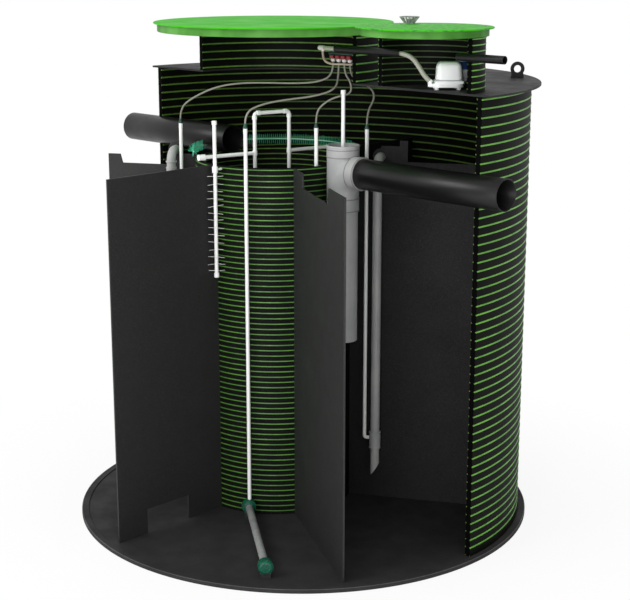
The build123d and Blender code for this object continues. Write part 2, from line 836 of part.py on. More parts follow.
# Hose couplings: a sleeve over the top of each air pipe, drawn in to the hose
coupled_pipes = (
    (*lift_place(-150, lift_reach_left - lift_air_spacing), lift_air_top),
    (diffuser_air_x, diffuser_air_y, diffuser_air_top),
    (reactor_air_x, reactor_air_y, reactor_air_top),
    (*lift_place(30, lift_reach_right - lift_air_spacing), lift_air_top),
)
with BuildPart() as hose_couplings:
    for x, y, top in coupled_pipes:
        with BuildSketch(upright_plane(x, y)):
            with BuildLine():
                Polyline(
                    (0, top + cap_gap),
                    (air_pipe_radius + cap_gap, top + cap_gap),
                    (air_pipe_radius + cap_gap, top - cap_overlap),
                    (cap_radius, top - cap_overlap),
                    (cap_radius, top + cap_gap),
                    (hose_radius + cap_gap, top + cap_rise),
                    (0, top + cap_rise),
                    close=True,
                )
            make_face()
        revolve(axis=Axis((x, y, 0), (0, 0, 1)))
save(hose_couplings.part, "hose_couplings")

# Ducts on the cut plane: one joins the necks, one leads the blower's cable out
def duct(start, end):
    """Make a straight duct on the cut plane, open at both ends."""
    with BuildPart() as tube:
        with BuildSketch(Plane.YZ.offset(start)):
            with Locations((0, duct_height)):
                Circle(duct_radius)
                Circle(duct_radius - duct_wall, mode=Mode.SUBTRACT)
        extrude(amount=end - start)
    return tube.part


save(duct(duct_start, duct_end), "hose_duct")
save(duct(cable_duct_start, cable_duct_end), "cable_duct")

def neck_face(side):
    """Give the X of the large neck's inner face at a distance from the cut plane, less a small gap."""
    return reactor_x + sqrt(large_neck_inner_radius**2 - side**2) - plate_inner_gap


# Valve manifold: a bar fixed to the inside of the large neck, with a tap over each hose and a feed port
manifold_end = neck_face(manifold_y + manifold_flange_radius)
feed_flange_end = neck_face(feed_flange_y + feed_flange_radius)
with BuildPart() as valve_manifold:
    with BuildSketch(Plane.YZ.offset(manifold_start)):
        with Locations((manifold_y, manifold_height)):
            Circle(manifold_radius)
    extrude(amount=manifold_end - manifold_plate_thickness - manifold_start)
    with BuildSketch(Plane.YZ.offset(manifold_end - manifold_plate_thickness)):
        with Locations((manifold_y, manifold_height)):
            Circle(manifold_flange_radius)
    extrude(amount=manifold_plate_thickness)
    with BuildSketch(Plane.YZ.offset(feed_flange_end - manifold_plate_thickness)):
        with Locations((feed_flange_y, feed_flange_height)):
            Circle(feed_flange_radius)
    extrude(amount=manifold_plate_thickness)
save(valve_manifold.part, "valve_manifold")

with BuildPart() as manifold_taps:
    for tap in range(valve_count):
        tap_x = valve_start + tap * valve_pitch
        tap_plane = Plane(origin=(tap_x, manifold_y, manifold_height - manifold_radius), z_dir=(0, 0, -1))
        with BuildSketch(tap_plane):
            Circle(valve_radius)
        extrude(amount=valve_drop)
        with BuildSketch(tap_plane):
            Circle(valve_nozzle_radius)
        extrude(amount=valve_nozzle_drop)
save(manifold_taps.part, "manifold_taps")

# Feed elbow: ends the blower's hose and turns the air down into the thin feed hose
with BuildPart() as feed_elbow:
    with BuildSketch(Plane.YZ.offset(feed_elbow_start)):
        with Locations((0, duct_height)):
            Circle(feed_elbow_radius)
    extrude(amount=feed_elbow_end - feed_elbow_start)
    closed_end = feed_elbow.edges().filter_by(GeomType.CIRCLE).sort_by(Axis.X)[0]
    fillet(closed_end, radius=feed_elbow_round)
    sleeve(feed_nipple_x, 0, feed_nipple_bottom, duct_height - feed_nipple_bottom, feed_nipple_radius)
save(feed_elbow.part, "feed_elbow")

# Blower: a rounded housing on a footed base that carries the nozzle, with an air filter behind
blower_plane = Plane(
    origin=(blower_x, blower_y, deck_top),
    x_dir=(cos(radians(blower_bearing)), sin(radians(blower_bearing)), 0),
    z_dir=(0, 0, 1),
)
blower_base_top = blower_foot_height + blower_base_height
nozzle_axis = (Vector(*blower_nozzle_end) - Vector(*blower_hose_lead)).normalized()
port = Vector(*blower_nozzle_end) + nozzle_axis * blower_nozzle_reach
with BuildPart() as blower_base:
    with BuildSketch(blower_plane.offset(blower_foot_height)):
        RectangleRounded(blower_base_length, blower_base_depth, blower_base_round)
    extrude(amount=blower_base_height)
    with BuildSketch(blower_plane):
        with GridLocations(blower_foot_spread_x, blower_foot_spread_y, 2, 2):
            Circle(blower_foot_radius)
    extrude(amount=blower_foot_height)
    sleeve(port.X, port.Y, deck_top + blower_foot_height, blower_base_height, blower_port_radius)
    with BuildSketch(Plane(origin=blower_nozzle_end, z_dir=nozzle_axis)):
        Circle(blower_nozzle_radius)
    extrude(amount=blower_nozzle_reach)
save(blower_base.part, "blower_base")

with BuildPart() as blower_housing:
    with BuildSketch(blower_plane.offset(blower_base_top)):
        RectangleRounded(blower_length, blower_depth, blower_base_round)
    extrude(amount=blower_height, taper=blower_taper)
    fillet(blower_housing.faces().sort_by(Axis.Z)[-1].edges(), radius=blower_round)
save(blower_housing.part, "blower_housing")

with BuildPart() as blower_filter:
    filter_depth_place = (blower_base_depth + blower_filter_depth) / 2
    with BuildSketch(blower_plane):
        with Locations((blower_filter_offset, filter_depth_place)):
            RectangleRounded(blower_filter_length, blower_filter_depth, blower_foot_radius)
    extrude(amount=blower_filter_height)
save(blower_filter.part, "blower_filter")


# Hoses: soft tubes from the manifold to the air pipes
def bend_radii(points):
    """Give each inner corner the radius that uses 0.45 of its shorter run."""
    radii = []
    for before, corner, after in zip(points, points[1:], points[2:]):
        first = Vector(*corner) - Vector(*before)
        second = Vector(*after) - Vector(*corner)
        turn = acos(first.normalized().dot(second.normalized()))
        radii.append(0.45 * min(first.length, second.length) / tan(turn / 2))
    return radii


def hose(points, radius, name):
    """Sweep a soft tube through control points and print its bend radii."""
    radii = bend_radii(points)
    print(name, "bend radii", [round(value) for value in radii])
    with BuildPart() as tube:
        with BuildLine() as centre_line:
            FilletPolyline(*points, radius=radii)
        with BuildSketch(Plane(origin=points[0], z_dir=Vector(*points[1]) - Vector(*points[0]))):
            Circle(radius)
        sweep(path=centre_line.wire())
    return tube.part


coupling_tops = [(x, y, top + cap_rise) for x, y, top in coupled_pipes]
nozzle_height = manifold_height - manifold_radius - valve_nozzle_drop
nozzle_ends = [(valve_start + tap * valve_pitch, manifold_y, nozzle_height) for tap in range(valve_count)]

left_lift_hose_points = [
    nozzle_ends[0],
    (199, manifold_y, 2408),
    (122, -15, 2369),
    (-14, -68, 2359),
    (-152, -122, 2357),
    (-290, -178, 2351),
    (-425, -236, 2326),
    (-548, -294, 2265),
    (coupling_tops[0][0], coupling_tops[0][1], 2205),
    coupling_tops[0],
]
save(hose(left_lift_hose_points, hose_radius, "air_hose_left_lift"), "air_hose_left_lift")

diffuser_hose_points = [
    nozzle_ends[1],
    (239, manifold_y, 2412),
    (262, -20, 2340),
    (195, -120, 2308),
    (110, -232, 2294),
    (40, -330, 2275),
    (coupling_tops[1][0], coupling_tops[1][1], 2237),
    coupling_tops[1],
]
save(hose(diffuser_hose_points, hose_radius, "air_hose_diffuser"), "air_hose_diffuser")

reactor_hose_points = [
    nozzle_ends[2],
    (279, manifold_y, 2425),
    (308, 48, 2375),
    (306, 49, 2315),
    (235, 2, 2300),
    (185, -38, 2262),
    (coupling_tops[2][0], coupling_tops[2][1], 2217),
    coupling_tops[2],
]
save(hose(reactor_hose_points, hose_radius, "air_hose_reactor"), "air_hose_reactor")

right_lift_hose_points = [
    nozzle_ends[3],
    (319, manifold_y, 2425),
    (326, 80, 2378),
    (348, 160, 2345),
    (352, 186, 2290),
    (coupling_tops[3][0], coupling_tops[3][1], 2210),
    coupling_tops[3],
]
save(hose(right_lift_hose_points, hose_radius, "air_hose_right_lift"), "air_hose_right_lift")

blower_hose_points = [
    blower_nozzle_end,
    blower_hose_lead,
    (783, 30, 2486),
    (748, 20, 2530),
    (700, 0, duct_height),
    (600, 0, duct_height - 1),
    (430, 0.5, duct_height + 0.5),
    (265, 0, duct_height),
    (feed_elbow_end, 0, duct_height),
]
save(hose(blower_hose_points, blower_hose_radius, "blower_hose"), "blower_hose")

feed_hose_points = [
    (feed_nipple_x, 0, feed_nipple_bottom),
    (feed_nipple_x, 0, 2500),
    (174, 0, 2474),
    (225, 4, 2468),
    (290, feed_flange_y, feed_flange_height),
    (feed_flange_end - manifold_plate_thickness, feed_flange_y, feed_flange_height),
]
save(hose(feed_hose_points, feed_hose_radius, "feed_hose"), "feed_hose")
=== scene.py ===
"""Looks of a packaged sewage treatment plant, shown as a cutaway of its near half."""

import logging
import math
import random
from dataclasses import dataclass, field
from enum import Enum
from typing import Iterable, Optional, Sequence, Union

import bmesh
import bpy
from mathutils import Matrix, Vector


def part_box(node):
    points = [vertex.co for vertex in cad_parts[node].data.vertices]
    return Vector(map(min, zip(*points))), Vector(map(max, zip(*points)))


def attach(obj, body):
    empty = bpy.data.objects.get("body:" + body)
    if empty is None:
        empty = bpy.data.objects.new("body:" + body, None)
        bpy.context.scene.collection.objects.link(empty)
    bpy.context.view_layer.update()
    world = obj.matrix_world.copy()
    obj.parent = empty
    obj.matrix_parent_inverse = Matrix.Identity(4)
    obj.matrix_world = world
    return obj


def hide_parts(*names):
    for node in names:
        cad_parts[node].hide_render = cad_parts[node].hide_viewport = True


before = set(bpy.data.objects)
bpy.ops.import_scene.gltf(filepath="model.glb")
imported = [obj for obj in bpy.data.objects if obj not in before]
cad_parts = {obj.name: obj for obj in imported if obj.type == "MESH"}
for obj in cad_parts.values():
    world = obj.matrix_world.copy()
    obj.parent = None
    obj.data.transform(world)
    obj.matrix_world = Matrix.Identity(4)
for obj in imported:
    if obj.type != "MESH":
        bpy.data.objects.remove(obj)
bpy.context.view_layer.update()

MM = 0.001
FULL_TURN = 359.9
ALONG_X = Vector((1.0, 0.0, 0.0))
WHITE = (1.0, 1.0, 1.0)
BLACK = (0.0, 0.0, 0.0)
Colour = tuple[float, float, float]
Point = tuple[float, float, float]
Profile = list[tuple[float, float]]
log = logging.getLogger("plant")


class Slot(Enum):
    """The record's material slots."""

    WALL = "wall"
    BASE = "base"
    DECK = "deck"
    LID = "lid"
    AGED_LID = "aged_lid"
    PLATE = "plate"
    SEWER_PIPE = "sewer_pipe"
    FITTING = "fitting"
    AIR_PIPE = "air_pipe"
    DIFFUSER = "diffuser"
    BRUSH = "brush"
    COUPLING = "coupling"
    BRASS = "brass"
    TAP = "tap"
    HOUSING = "housing"
    DARK_HOUSING = "dark_housing"
    FILTER = "filter"
    HOSE = "hose"


def linear(red: float, green: float, blue: float) -> Colour:
    """Turn a display colour of 0 to 255 into linear light.

    Args:
        red: red, 0 to 255.
        green: green, 0 to 255.
        blue: blue, 0 to 255.

    Returns:
        The same colour in linear light, 0 to 1.
    """
    shares = [channel / 255 for channel in (red, green, blue)]
    return tuple(s / 12.92 if s <= 0.04045 else ((s + 0.055) / 1.055) ** 2.4 for s in shares)


class Socket:
    """A value in a shader that can be used in a Python expression."""

    def __init__(self, graph: "Graph", output: bpy.types.NodeSocket) -> None:
        """Wrap one output of a node.

        Args:
            graph: the graph that the node is in.
            output: the node's output.
        """
        self.graph = graph
        self.output = output

    def _math(self, operation: str, *values: "Value") -> "Socket":
        """Add one Math node."""
        return self.graph.node("ShaderNodeMath", {"operation": operation}, dict(enumerate(values)))

    def __add__(self, other: "Value") -> "Socket":
        """Add."""
        return self._math("ADD", self, other)

    __radd__ = __add__

    def __mul__(self, other: "Value") -> "Socket":
        """Multiply."""
        return self._math("MULTIPLY", self, other)

    __rmul__ = __mul__

    def __sub__(self, other: "Value") -> "Socket":
        """Subtract."""
        return self._math("SUBTRACT", self, other)

    def __rsub__(self, other: "Value") -> "Socket":
        """Subtract this from a number."""
        return self._math("SUBTRACT", other, self)

    def __truediv__(self, other: "Value") -> "Socket":
        """Divide."""
        return self._math("DIVIDE", self, other)

    def __rtruediv__(self, other: "Value") -> "Socket":
        """Divide a number by this."""
        return self._math("DIVIDE", other, self)

    def __gt__(self, other: "Value") -> "Socket":
        """Give 1 where this is greater."""
        return self._math("GREATER_THAN", self, other)

    def __lt__(self, other: "Value") -> "Socket":
        """Give 1 where this is less."""
        return self._math("LESS_THAN", self, other)

    def __abs__(self) -> "Socket":
        """Drop the sign."""
        return self._math("ABSOLUTE", self)

    def fraction(self) -> "Socket":
        """Keep what follows the decimal point."""
        return self._math("FRACT", self)

    def ranged(self, low: float, high: float, to_low: float = 0.0, to_high: float = 1.0) -> "Socket":
        """Map a range of this value onto another, held at its ends.

        Args:
            low: the value that becomes to_low.
            high: the value that becomes to_high.
            to_low: the low end of the result.
            to_high: the high end of the result.

        Returns:
            The mapped value.
        """
        values = {"Value": self, "From Min": low, "From Max": high, "To Min": to_low, "To Max": to_high}
        return self.graph.node("ShaderNodeMapRange", {"clamp": True}, values)


Value = Union[Socket, float, Sequence[float]]


class Graph:
    """A node tree that is cleared and built again."""

    def __init__(self, tree: bpy.types.NodeTree) -> None:
        """Clear a tree.

        Args:
            tree: the tree.
        """
        self.tree = tree
        tree.nodes.clear()

    def add(self, kind: str, settings: dict, values: dict) -> bpy.types.Node:
        """Add a node, with its settings first and its sockets after.

        Args:
            kind: the node's type.
            settings: its properties.
            values: values or links by socket name or place.

        Returns:
            The node.
        """
        made = self.tree.nodes.new(kind)
        for key, setting in settings.items():
            setattr(made, key, setting)
        for key, value in values.items():
            target = made.inputs[key]
            if isinstance(value, Socket):
                self.tree.links.new(value.output, target)
            elif target.type == "RGBA":
                target.default_value = (*value, 1.0)
            else:
                target.default_value = value
        return made

    def node(self, kind: str, settings: dict, values: dict, output: Union[str, int] = 0) -> Socket:
        """Add a node and give one of its outputs.

        Args:
            kind: the node's type.
            settings: its properties.
            values: values or links by socket name or place.
            output: the name or place of the output.

        Returns:
            The chosen output.
        """
        return Socket(self, self.add(kind, settings, values).outputs[output])


class Material(Graph):
    """The node tree of one material."""

    def __init__(self, name: str) -> None:
        """Start an empty material.

        Args:
            name: the material's name.
        """
        self.material = bpy.data.materials.new(name)
        self.material.use_nodes = True
        super().__init__(self.material.node_tree)
        self.place = self.node("ShaderNodeTexCoord", {}, {}, "Object")

    def part(self, axis: str) -> Socket:
        """Give one coordinate of the piece's own place.

        Args:
            axis: "X", "Y" or "Z".

        Returns:
            The coordinate in metres.
        """
        return self.node("ShaderNodeSeparateXYZ", {}, {0: self.place}, axis)

    def noise(self, scale: float, detail: float = 2.0) -> Socket:
        """Add noise on the piece's own place.

        Args:
            scale: waves to a metre.
            detail: number of finer layers.

        Returns:
            The noise, about 0.3 to 0.7.
        """
        values = {"Vector": self.place, "Scale": scale, "Detail": detail, "Roughness": 0.6}
        return self.node("ShaderNodeTexNoise", {}, values)

    def mix(self, share: Value, first: Value, second: Value) -> Socket:
        """Mix two colours.

        Args:
            share: how much of the second.
            first: a colour.
            second: a colour.

        Returns:
            The mixed colour.
        """
        return self.node("ShaderNodeMix", {"data_type": "RGBA"}, {0: share, 6: first, 7: second}, 2)

    def bump(self, height: Socket, distance: float) -> Socket:
        """Add a bump of a height in metres.

        Args:
            height: the height, 0 to 1.
            distance: metres at a height of 1.

        Returns:
            The bumped normal.
        """
        return self.node("ShaderNodeBump", {}, {"Height": height, "Distance": distance})

    def finish(self, values: dict) -> bpy.types.Material:
        """Close the material with one surface shader.

        Args:
            values: values or links of the surface shader's sockets.

        Returns:
            The finished material.
        """
        return self.close(self.node("ShaderNodeBsdfPrincipled", {}, values))

    def close(self, surface: Socket) -> bpy.types.Material:
        """Join a shader to the material's output.

        Args:
            surface: the shader.

        Returns:
            The finished material.
        """
        self.add("ShaderNodeOutputMaterial", {}, {"Surface": surface})
        return self.material


@dataclass(frozen=True)
class Plastic:
    """A moulded or extruded plastic with cloudy colour, fine speckle and a grain."""

    name: str
    colour: Colour
    cloud_colour: Colour
    roughness: float = 0.5
    cloud_scale: float = 6.0
    speckle: float = 0.12
    speckle_scale: float = 420.0
    grain_scale: float = 900.0
    grain_depth: float = 0.0001
    specular: float = 0.5
    noise_range: tuple[float, float] = (0.35, 0.65)
    bright_range: tuple[float, float] = (0.55, 0.75)
    dark_share: float = 2.0
    bright_share: float = 0.35
    rough_spread: tuple[float, float] = (-0.05, 0.08)

    def material(self) -> bpy.types.Material:
        """Build the material.

        Returns:
            The finished material.
        """
        graph = Material(self.name)
        cloud = graph.noise(self.cloud_scale, 3.0).ranged(*self.noise_range)
        fleck = graph.noise(self.speckle_scale)
        colour = graph.mix(cloud, linear(*self.colour), linear(*self.cloud_colour))
        shade = fleck.ranged(*self.noise_range, 0.0, self.speckle * self.dark_share)
        gleam = fleck.ranged(*self.bright_range, 0.0, self.speckle * self.bright_share)
        smoothest, roughest = (self.roughness + spread for spread in self.rough_spread)
        return graph.finish(
            {
                "Base Color": graph.mix(gleam, graph.mix(shade, colour, BLACK), WHITE),
                "Roughness": cloud.ranged(0.0, 1.0, smoothest, roughest),
                "Specular IOR Level": self.specular,
                "Normal": graph.bump(graph.noise(self.grain_scale), self.grain_depth),
            }
        )


@dataclass(frozen=True)
class CutWall:
    """Near-black wall, darker still on the cut plane, where pale ticks mark the seams."""

    name: str
    colour: Colour
    centre_x: float
    inner_radius: float
    outer_radius: float
    seam_level: float
    seam_pitch: float
    tick_colour: Colour = (96, 116, 72)
    tick_height: float = 0.13
    tick_reach: float = 0.0035
    cut_colour: Colour = (5, 6, 5)
    cut_limit: float = 0.0006
    seams_below: int = 100
    cloud_share: float = 0.72
    roughness: float = 0.5
    cut_roughness: float = 0.9

    def material(self) -> bpy.types.Material:
        """Build the material.

        Returns:
            The finished material.
        """
        graph = Material(self.name)
        middle = (self.inner_radius + self.outer_radius) / 2
        half = (self.outer_radius - self.inner_radius) / 2
        on_cut = graph.part("Y") < self.cut_limit
        # Whole seams are added below, so that the fraction counts from the same end all the way down.
        rise = graph.part("Z") - self.seam_level + self.seam_pitch * (self.seams_below + 0.5)
        near_seam = abs((rise / self.seam_pitch).fraction() - 0.5) < self.tick_height / 2
        near_face = abs(abs(graph.part("X") - self.centre_x) - middle) > half - self.tick_reach
        cloud = graph.noise(6.0, 3.0).ranged(0.35, 0.65)
        dark = tuple(channel * self.cloud_share for channel in self.colour)
        wall = graph.mix(cloud, linear(*self.colour), linear(*dark))
        cut = graph.mix(on_cut, wall, linear(*self.cut_colour))
        return graph.finish(
            {
                "Base Color": graph.mix(near_seam * near_face * on_cut, cut, linear(*self.tick_colour)),
                "Roughness": on_cut * (self.cut_roughness - self.roughness) + self.roughness,
                "Specular IOR Level": 0.04,
                "Normal": graph.bump(graph.noise(900.0), 0.0001),
            }
        )


@dataclass(frozen=True)
class WrinkledLid:
    """Bright green sheet, pressed in shallow wrinkles, with painted shade in their hollows and painted
    glints on the top round the cowl.
    """

    name: str
    colour: Colour
    painted_glint_colour: Colour
    wrinkle_shade_colour: Colour
    wrinkle_scale: float
    wrinkle_depth: float
    glint_centre: Point
    top_level: float
    fold_share: float = 0.6
    crease_share: float = 0.8
    crease_scale: float = 1.7
    wrinkle_shade_range: tuple[float, float] = (0.54, 0.7)
    glint_range: tuple[float, float] = (0.56, 0.62)
    glint_reach: tuple[float, float] = (0.06, 0.24)
    glint_share: tuple[float, float] = (0.95, 0.12)
    rough_range: tuple[float, float] = (0.35, 0.6)

    def material(self) -> bpy.types.Material:
        """Build the material.

        Returns:
            The finished material.
        """
        graph = Material(self.name)
        folds = graph.node(
            "ShaderNodeTexVoronoi",
            {"feature": "SMOOTH_F1"},
            {"Vector": graph.place, "Scale": self.wrinkle_scale, "Smoothness": 0.6},
            "Distance",
        )
        crease = graph.noise(self.wrinkle_scale * self.crease_scale, 4.0)
        height = folds * self.fold_share + crease * self.crease_share
        # Painted shade: the low parts of the wrinkles take the darker colour.
        hollow = height.ranged(*self.wrinkle_shade_range)
        # Painted glints: pale colour mixed in on the top round the cowl, where the crease noise is high.
        reach = graph.node(
            "ShaderNodeVectorMath",
            {"operation": "DISTANCE"},
            {0: graph.place, 1: self.glint_centre},
            "Value",
        )
        near = reach.ranged(*self.glint_reach, *self.glint_share)
        on_top = graph.part("Z") > self.top_level
        glint = crease.ranged(*self.glint_range) * near * on_top
        colour = graph.mix(hollow, linear(*self.wrinkle_shade_colour), linear(*self.colour))
        return graph.finish(
            {
                "Base Color": graph.mix(glint, colour, linear(*self.painted_glint_colour)),
                "Roughness": crease.ranged(0.3, 0.7, *self.rough_range),
                "Specular IOR Level": 0.12,
                "Normal": graph.bump(height, self.wrinkle_depth),
            }
        )


@dataclass(frozen=True)
class WhiteFloor:
    """A white floor that is white to the camera and keeps a faint shadow near the object."""

    name: str
    colour: Colour = (246, 246, 246)
    shadow_share: float = 0.14
    near: float = 1.3
    far: float = 2.6

    def material(self) -> bpy.types.Material:
        """Build the material.

        Returns:
            The finished material.
        """
        graph = Material(self.name)
        reach = graph.node("ShaderNodeVectorMath", {"operation": "LENGTH"}, {0: graph.place}, "Value")
        share = reach.ranged(self.near, self.far, 1 - self.shadow_share, 1.0)
        seen = graph.node("ShaderNodeLightPath", {}, {}, "Is Camera Ray")
        paper = graph.node(
            "ShaderNodeBsdfPrincipled", {}, {"Base Color": linear(*self.colour), "Roughness": 0.9}
        )
        glow = graph.node("ShaderNodeEmission", {}, {"Color": WHITE, "Strength": 1.0})
        return graph.close(graph.node("ShaderNodeMixShader", {}, {0: seen * share, 1: paper, 2: glow}))


def grey(level: int) -> Colour:
    """Give a grey as a display colour.

    Args:
        level: its level, 0 to 255.

    Returns:
        The colour.
    """
    return (level, level, level)


def seam(name: str, colour: Colour, cloud_colour: Colour, roughness: float) -> Plastic:
    """Give the mottled finish of a weld seam.

    Args:
        name: the finish's name.
        colour: its display colour.
        cloud_colour: the colour of its darker clouds.
        roughness: its roughness.

    Returns:
        The finish.
    """
    mottle = {"cloud_scale": 9.0, "speckle": 0.2, "speckle_scale": 160.0}
    return Plastic(name, colour, cloud_colour, roughness, **mottle)


BLACK_WALL = Plastic("black_wall", (17, 19, 15), (12, 14, 11), 0.55, speckle=0.1, specular=0.04)
BASE_BLACK = Plastic("base_black", grey(54), grey(47), 0.55, specular=0.06)
# Pale grey of the ring along the base's upper edge: painted highlight.
EDGE_HIGHLIGHT_GREY = Plastic("edge_painted_highlight", grey(92), grey(76), specular=0.2)
DECK_GREY = Plastic("deck_grey", grey(44), grey(38), 0.55, specular=0.15)
EYE_DARK = Plastic("eye_dark", grey(40), grey(32), specular=0.3)
PLATE_GREY = Plastic("plate_grey", grey(37), grey(32), cloud_scale=3.0, speckle=0.25, specular=0.35)
PLATE_DARK = Plastic(
    "plate_dark", grey(44), grey(40), 0.55, cloud_scale=3.0, speckle=0.25, specular=0.06
)
SEAM_GREEN = seam("seam_green", (104, 182, 46), (80, 150, 42), 0.4)
# A dimmer, more olive copy of the seam green: painted shade for the reactor's outer seams, which lie in
# the plates' shadow.
SEAM_MOSS_PAINTED_SHADE = seam("seam_moss_painted_shade", (90, 150, 48), (68, 122, 42), 0.4)
# A dim copy of the seam colour: painted shade for the seams inside the small neck.
SEAM_NECK_PAINTED_SHADE = seam("seam_neck_painted_shade", (70, 98, 40), (52, 78, 36), 0.5)
SEAM_OLIVE = seam("seam_olive", (104, 146, 46), (80, 124, 42), 0.5)
LID_GREEN = Plastic("lid_green", (66, 190, 14), (56, 182, 6), speckle=0.05, specular=0.12)
# Paler green of the lid skirts with large light and dark clouds: painted sheen, standing in for
# reflections on the same lid plastic.
LID_SIDE_PAINTED_SHEEN = Plastic(
    "lid_side_painted_sheen", (92, 156, 68), (54, 114, 34), 0.45, cloud_scale=3.5, speckle=0.03, specular=0.15
)
PIPE_BLACK = Plastic(
    "pipe_black", grey(18), grey(14), 0.33, speckle=0.04, grain_depth=0.00002, specular=0.3
)
FITTING_GREY = Plastic("fitting_grey", grey(180), (170, 171, 172), 0.4, speckle=0.04)
# Darker grey for the tee's joint rings: painted shade, standing in for the shadow in the gaps at the
# joints.
JOINT_SHADE_GREY = Plastic("joint_painted_shade", grey(142), grey(130), speckle=0.04, specular=0.2)
LIFT_GREY = Plastic("lift_grey", (182, 183, 181), (168, 169, 169), 0.42, speckle=0.06)
DROP_GREY = Plastic("drop_grey", (192, 193, 192), (178, 179, 179), 0.45, speckle=0.08)
COWL_GREY = Plastic("cowl_grey", (176, 180, 176), (128, 132, 128), 0.3, cloud_scale=40.0, speckle=0.05)
PIPE_WHITE = Plastic("pipe_white", (250, 250, 249), (245, 246, 245), 0.35, speckle=0.02)
ROD_WHITE = Plastic("rod_white", (236, 236, 232), (220, 221, 218), 0.4, speckle=0.02)
MEMBRANE = Plastic(
    "membrane", (172, 174, 172), (134, 136, 135), 0.45, speckle=0.2, speckle_scale=260.0
)
TEAL = Plastic(
    "teal",
    (6, 108, 80),
    (4, 80, 62),
    0.42,
    cloud_scale=60.0,
    speckle=0.3,
    speckle_scale=140.0,
    specular=0.25,
)
COUPLING_TEAL = Plastic("coupling_teal", (14, 74, 60), (8, 52, 44), 0.35, speckle=0.05)
BRISTLE = Plastic("bristle", (84, 220, 176), (44, 176, 136), speckle=0.05)
CORE = Plastic("core", (186, 240, 214), (140, 214, 180), speckle=0.05)
MANIFOLD_TEAL = Plastic("manifold_teal", (20, 66, 50), (14, 44, 38), 0.4, speckle=0.05)
TAP_RED = Plastic("tap_red", (150, 30, 44), (110, 16, 26), 0.4, speckle=0.03)
NOZZLE_WHITE = Plastic("nozzle_white", (222, 216, 212), (206, 198, 194), 0.4, speckle=0.03)
HOUSING_WHITE = Plastic("housing_white", (250, 250, 251), (246, 246, 248), 0.35, speckle=0.01)
SEAM_GREY = Plastic("seam_grey", (170, 172, 176), (150, 152, 156), speckle=0.01)
NAVY = Plastic("navy", (12, 56, 124), (8, 42, 100), 0.35, speckle=0.05)
FILTER_GREY = Plastic("filter_grey", (226, 220, 230), (206, 200, 212), speckle=0.05)
TUBE = Plastic("tube", (140, 138, 126), (122, 120, 110), 0.4, speckle=0.05)
FEED_TUBE = Plastic("feed_tube", (178, 162, 146), (152, 140, 126), 0.4, speckle=0.05)
WIDE_TUBE = Plastic("wide_tube", (178, 176, 164), (158, 158, 146), 0.4, speckle=0.08)
FLOOR = WhiteFloor("floor_white")

Finish = Union[Plastic, WrinkledLid, CutWall, WhiteFloor]
_MATERIALS: dict[str, bpy.types.Material] = {}


def coat_of(finish: Finish) -> bpy.types.Material:
    """Give the material of a finish, made once.

    Args:
        finish: the finish.

    Returns:
        Its material.
    """
    if finish.name not in _MATERIALS:
        _MATERIALS[finish.name] = finish.material()
    return _MATERIALS[finish.name]


def box_matrix(low: Point, high: Point) -> Matrix:
    """Give the matrix that turns a unit cube into a box.

    Args:
        low: the lowest corner.
        high: the highest corner.

    Returns:
        The matrix.
    """
    size = Vector(high) - Vector(low)
    centre = (Vector(high) + Vector(low)) / 2
    return Matrix.Translation(centre) @ Matrix.Diagonal((*size, 1.0))


def facing(way: Vector) -> Matrix:
    """Give the matrix that turns the upward axis along a direction.

    Args:
        way: the direction.

    Returns:
        The matrix.
    """
    return way.normalized().to_track_quat("Z", "Y").to_matrix().to_4x4()


def band(foot: float, crest: float, low: float, high: float, ease: float, slope: float) -> Profile:
    """Give the profile of a raised band with eased edges.

    Args:
        foot: radius at its foot.
        crest: radius at its crest.
        low: its lower end along the axis.
        high: its upper end along the axis.
        ease: how far each end falls below the crest.
        slope: length over which it falls.

    Returns:
        The profile's points.
    """
    return [
        (foot, low),
        (crest - ease, low),
        (crest, low + slope),
        (crest, high - slope),
        (crest - ease, high),
        (foot, high),
    ]


